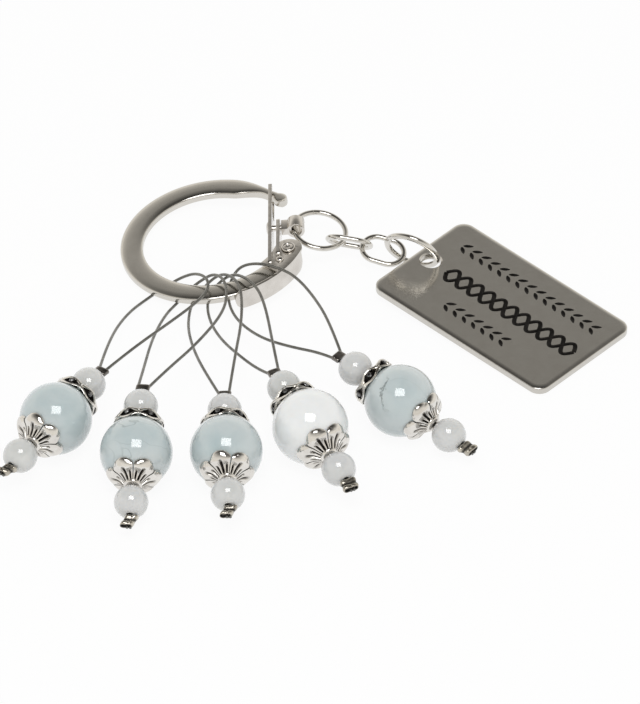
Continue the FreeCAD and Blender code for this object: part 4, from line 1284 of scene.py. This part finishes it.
def petal(bead_r):
    """Petal on the lower side of the bead, its middle line over +X."""
    hug = bead_r + seat_gap
    reach = (petal_tip - petal_root) * hug
    across = np.linspace(-1, 1, 37)
    rings, marks = [], []
    for share in 1 - (1 - np.linspace(0, 1, 46)) ** 1.6:
        from_tip = max((1 - share) * reach, 0.0)
        middle = petal_tip - from_tip / hug
        round_off = math.sqrt(max(1 - max(1 - from_tip / tip_half, 0) ** 2, 0))
        room = math.pi / 6 * hug * math.sin(middle) * 1.02
        half = min(tip_half * round_off, room)
        joined_up = min(max(tip_half * round_off / room - 0.86, 0) / 0.3, 1)
        past = max(from_tip / tip_half - 0.7, 0) / (reach / tip_half - 0.7)
        height = 0.80 * round_off ** 0.8 - 0.30 * math.sin(math.pi * min(past * 1.1, 1)) ** 2
        height += 0.42 * past ** 2
        slots = [(0.0, 0.15, min(max((from_tip - 1.35) / 0.7, 0), 1))]
        slots += [(line, 0.13, min(max((from_tip - 2.25) / 0.5, 0), 1)) for line in (-0.60, 0.60)]
        ring, mark = [], []
        ahead = np.array((math.sin(middle), 0, -math.cos(middle)))
        for side in across:
            free_edge = (1 - abs(side) ** 2.2) ** 0.55
            crown = free_edge + (1 - 0.22 * side ** 2 - free_edge) * joined_up
            groove = max(deep * math.exp(-((side - line) / wide) ** 4)
                         for line, wide, deep in slots)
            rise = 0.03 + height * crown * (1 - 0.60 * groove)
            way = ahead + np.array((0, side * half / hug, 0))
            ring.append(way / np.linalg.norm(way) * (hug + rise))
            mark.append(min(1.0, 1.15 * groove))
        for side in across[-2:0:-4]:
            way = ahead + np.array((0, side * half / hug, 0))
            ring.append(way / np.linalg.norm(way) * (hug + 0.01))
            mark.append(1.0)
        rings.append(ring)
        marks.append(mark)
    return skin("petal", rings, painted_shade_and_patina=marks, crease=50.0, weld=1e-4)


for number, bead_r in enumerate(bead_radii, start=1):
    petals = copies_round("petals", petal(bead_r), antique_silver, crease=50.0)
    base = -(bead_r + seat_gap)
    crown_profile = soften([(0.62, base - 0.25), (1.35, base - 0.30), (1.60, base - 0.62),
                            (1.52, base - 1.02), (1.15, base - 1.28), (0.62, base - 1.30)],
                           closed=True)
    crown = turned("crown", crown_profile)
    crown.data.materials.append(antique_silver)
    cap = joined("petal_cap_%d" % number, [petals, crown], crease=50.0)
    dress_part(cap, "beads", number, "bead_cap", "cap_silver")
print("caps", len(frames), "faces each", len(cap.data.polygons))

# %% [markdown]
# ## Crimps and cable ends
# A crimp is a short tube squeezed flat on the cable with pliers. The top one is dark and pressed
# evenly. The end one is squeezed harder: it is pinched across the middle, with two lobes and
# uneven dents, and the trimmed ends of the cable stand out of it. Both are skins of flattened
# rounds that turn back in at their mouths.

# %% Pressed tubes
def flattened(half_w, half_t, height, sides=56, power=0.62, lobes=0.0, dent=0.0, slip=0.0):
    """Ring of a flattened round, with two lobes across its width and uneven dents."""
    ring = []
    for turn in np.linspace(0, 2 * math.pi, sides, endpoint=False):
        c, s = math.cos(turn), math.sin(turn)
        x = math.copysign(abs(c) ** power, c)
        y = math.copysign(abs(s) ** power, s)
        pinch = 1 - lobes * math.exp(-(x / 0.28) ** 2)
        rough = 1 + dent * math.sin(3 * turn + 4.1 * height) * math.sin(2.3 * height + turn)
        ring.append((x * half_w * (1 + 0.4 * (rough - 1)) + slip, y * half_t * pinch * rough,
                     height))
    return ring


def pressed_tube(name, bottom, height, half_w, half_t, rows, lean=0.0, **shape):
    """Skin of a pressed tube; rows are (height share, width share, thickness share, painted shade).
    """
    rings = [flattened(half_w * w, half_t * t, bottom + height * share,
                       slip=lean * height * (share - 0.5), **shape)
             for share, w, t, _ in rows]
    marks = [[mark] * len(rings[0]) for _, _, _, mark in rows]
    return skin(name, rings, painted_shade_and_patina=marks, crease=60.0)


# The last number of each row is painted shade: full inside the turned-in mouths, and on the end
# crimp also across the pinch.
top_rows = [(0.22, 0.80, 0.42, 1), (0.03, 0.84, 0.52, 1), (0.0, 0.90, 0.70, 0.4),
            (0.05, 0.965, 0.88, 0), (0.16, 1.0, 0.99, 0), (0.35, 0.99, 0.96, 0),
            (0.65, 0.99, 0.94, 0), (0.84, 1.0, 0.99, 0), (0.95, 0.965, 0.88, 0),
            (1.0, 0.90, 0.70, 0.4), (0.97, 0.84, 0.52, 1), (0.78, 0.80, 0.42, 1)]
end_rows = [(0.16, 0.78, 0.40, 1), (0.02, 0.83, 0.52, 1), (0.0, 0.89, 0.74, 0.3),
            (0.05, 0.96, 0.92, 0), (0.15, 1.0, 1.0, 0), (0.27, 0.99, 0.97, 0),
            (0.37, 0.95, 0.80, 0.2), (0.45, 0.92, 0.64, 0.8), (0.52, 0.91, 0.60, 1),
            (0.59, 0.92, 0.66, 0.7), (0.67, 0.95, 0.82, 0.2), (0.77, 0.99, 0.97, 0),
            (0.88, 1.0, 0.99, 0), (0.96, 0.95, 0.88, 0), (1.0, 0.88, 0.70, 0.3),
            (0.98, 0.82, 0.50, 1), (0.84, 0.78, 0.40, 1)]


def cable_strand(side, bottom, top):
    """One straight strand: bundled wires that wind round each other."""
    heights = np.linspace(bottom, top, int((top - bottom) / 0.22))
    turns = np.linspace(0, 2 * math.pi, 20, endpoint=False)

    def wound(turn, height):
        """Point on the bundle, whose ridges turn with the height."""
        radius = 0.205 + 0.042 * abs(math.cos(3 * (turn - height)))
        return radius * math.cos(turn) + side, radius * math.sin(turn), height

    rings = [[wound(turn, height) for turn in turns] for height in heights]
    return skin("strand", rings, crease=50.0)


end_leans = (-0.50, -0.45, -0.50, -0.10, 0.20)
strand_side, strand_tail, strand_hold = 0.27, 0.35, 0.42
for number, (bead_r, lean) in enumerate(zip(bead_radii, end_leans), start=1):
    _, top_crimp, _, end_crimp = stations(bead_r)
    upper = pressed_tube("flat_crimp_%d" % number, top_crimp, crimp_h, 1.16, 0.525, top_rows,
                         lean=lean * 0.3)
    dress_part(upper, "marker", number, "top_crimp", "crimp_gunmetal", [crimp_gunmetal])
    lower = pressed_tube("crushed_crimp_%d" % number, end_crimp - end_crimp_h, end_crimp_h,
                         1.48 - abs(lean) * 0.9, 0.70, end_rows, lean=lean, lobes=0.16, dent=0.07)
    dress_part(lower, "marker", number, "end_crimp", "crimp_gunmetal", [crimp_nickel])
    ends = joined("cable_ends_%d" % number,
                  [cable_strand(side * strand_side, end_crimp - end_crimp_h - strand_tail,
                                top_crimp + strand_hold)
                   for side in (-1, 1)], crease=50.0)
    dress_part(ends, "marker", number, "core_strands", "cable_coat", [cable_coat])
print("crimps", 2 * len(frames))
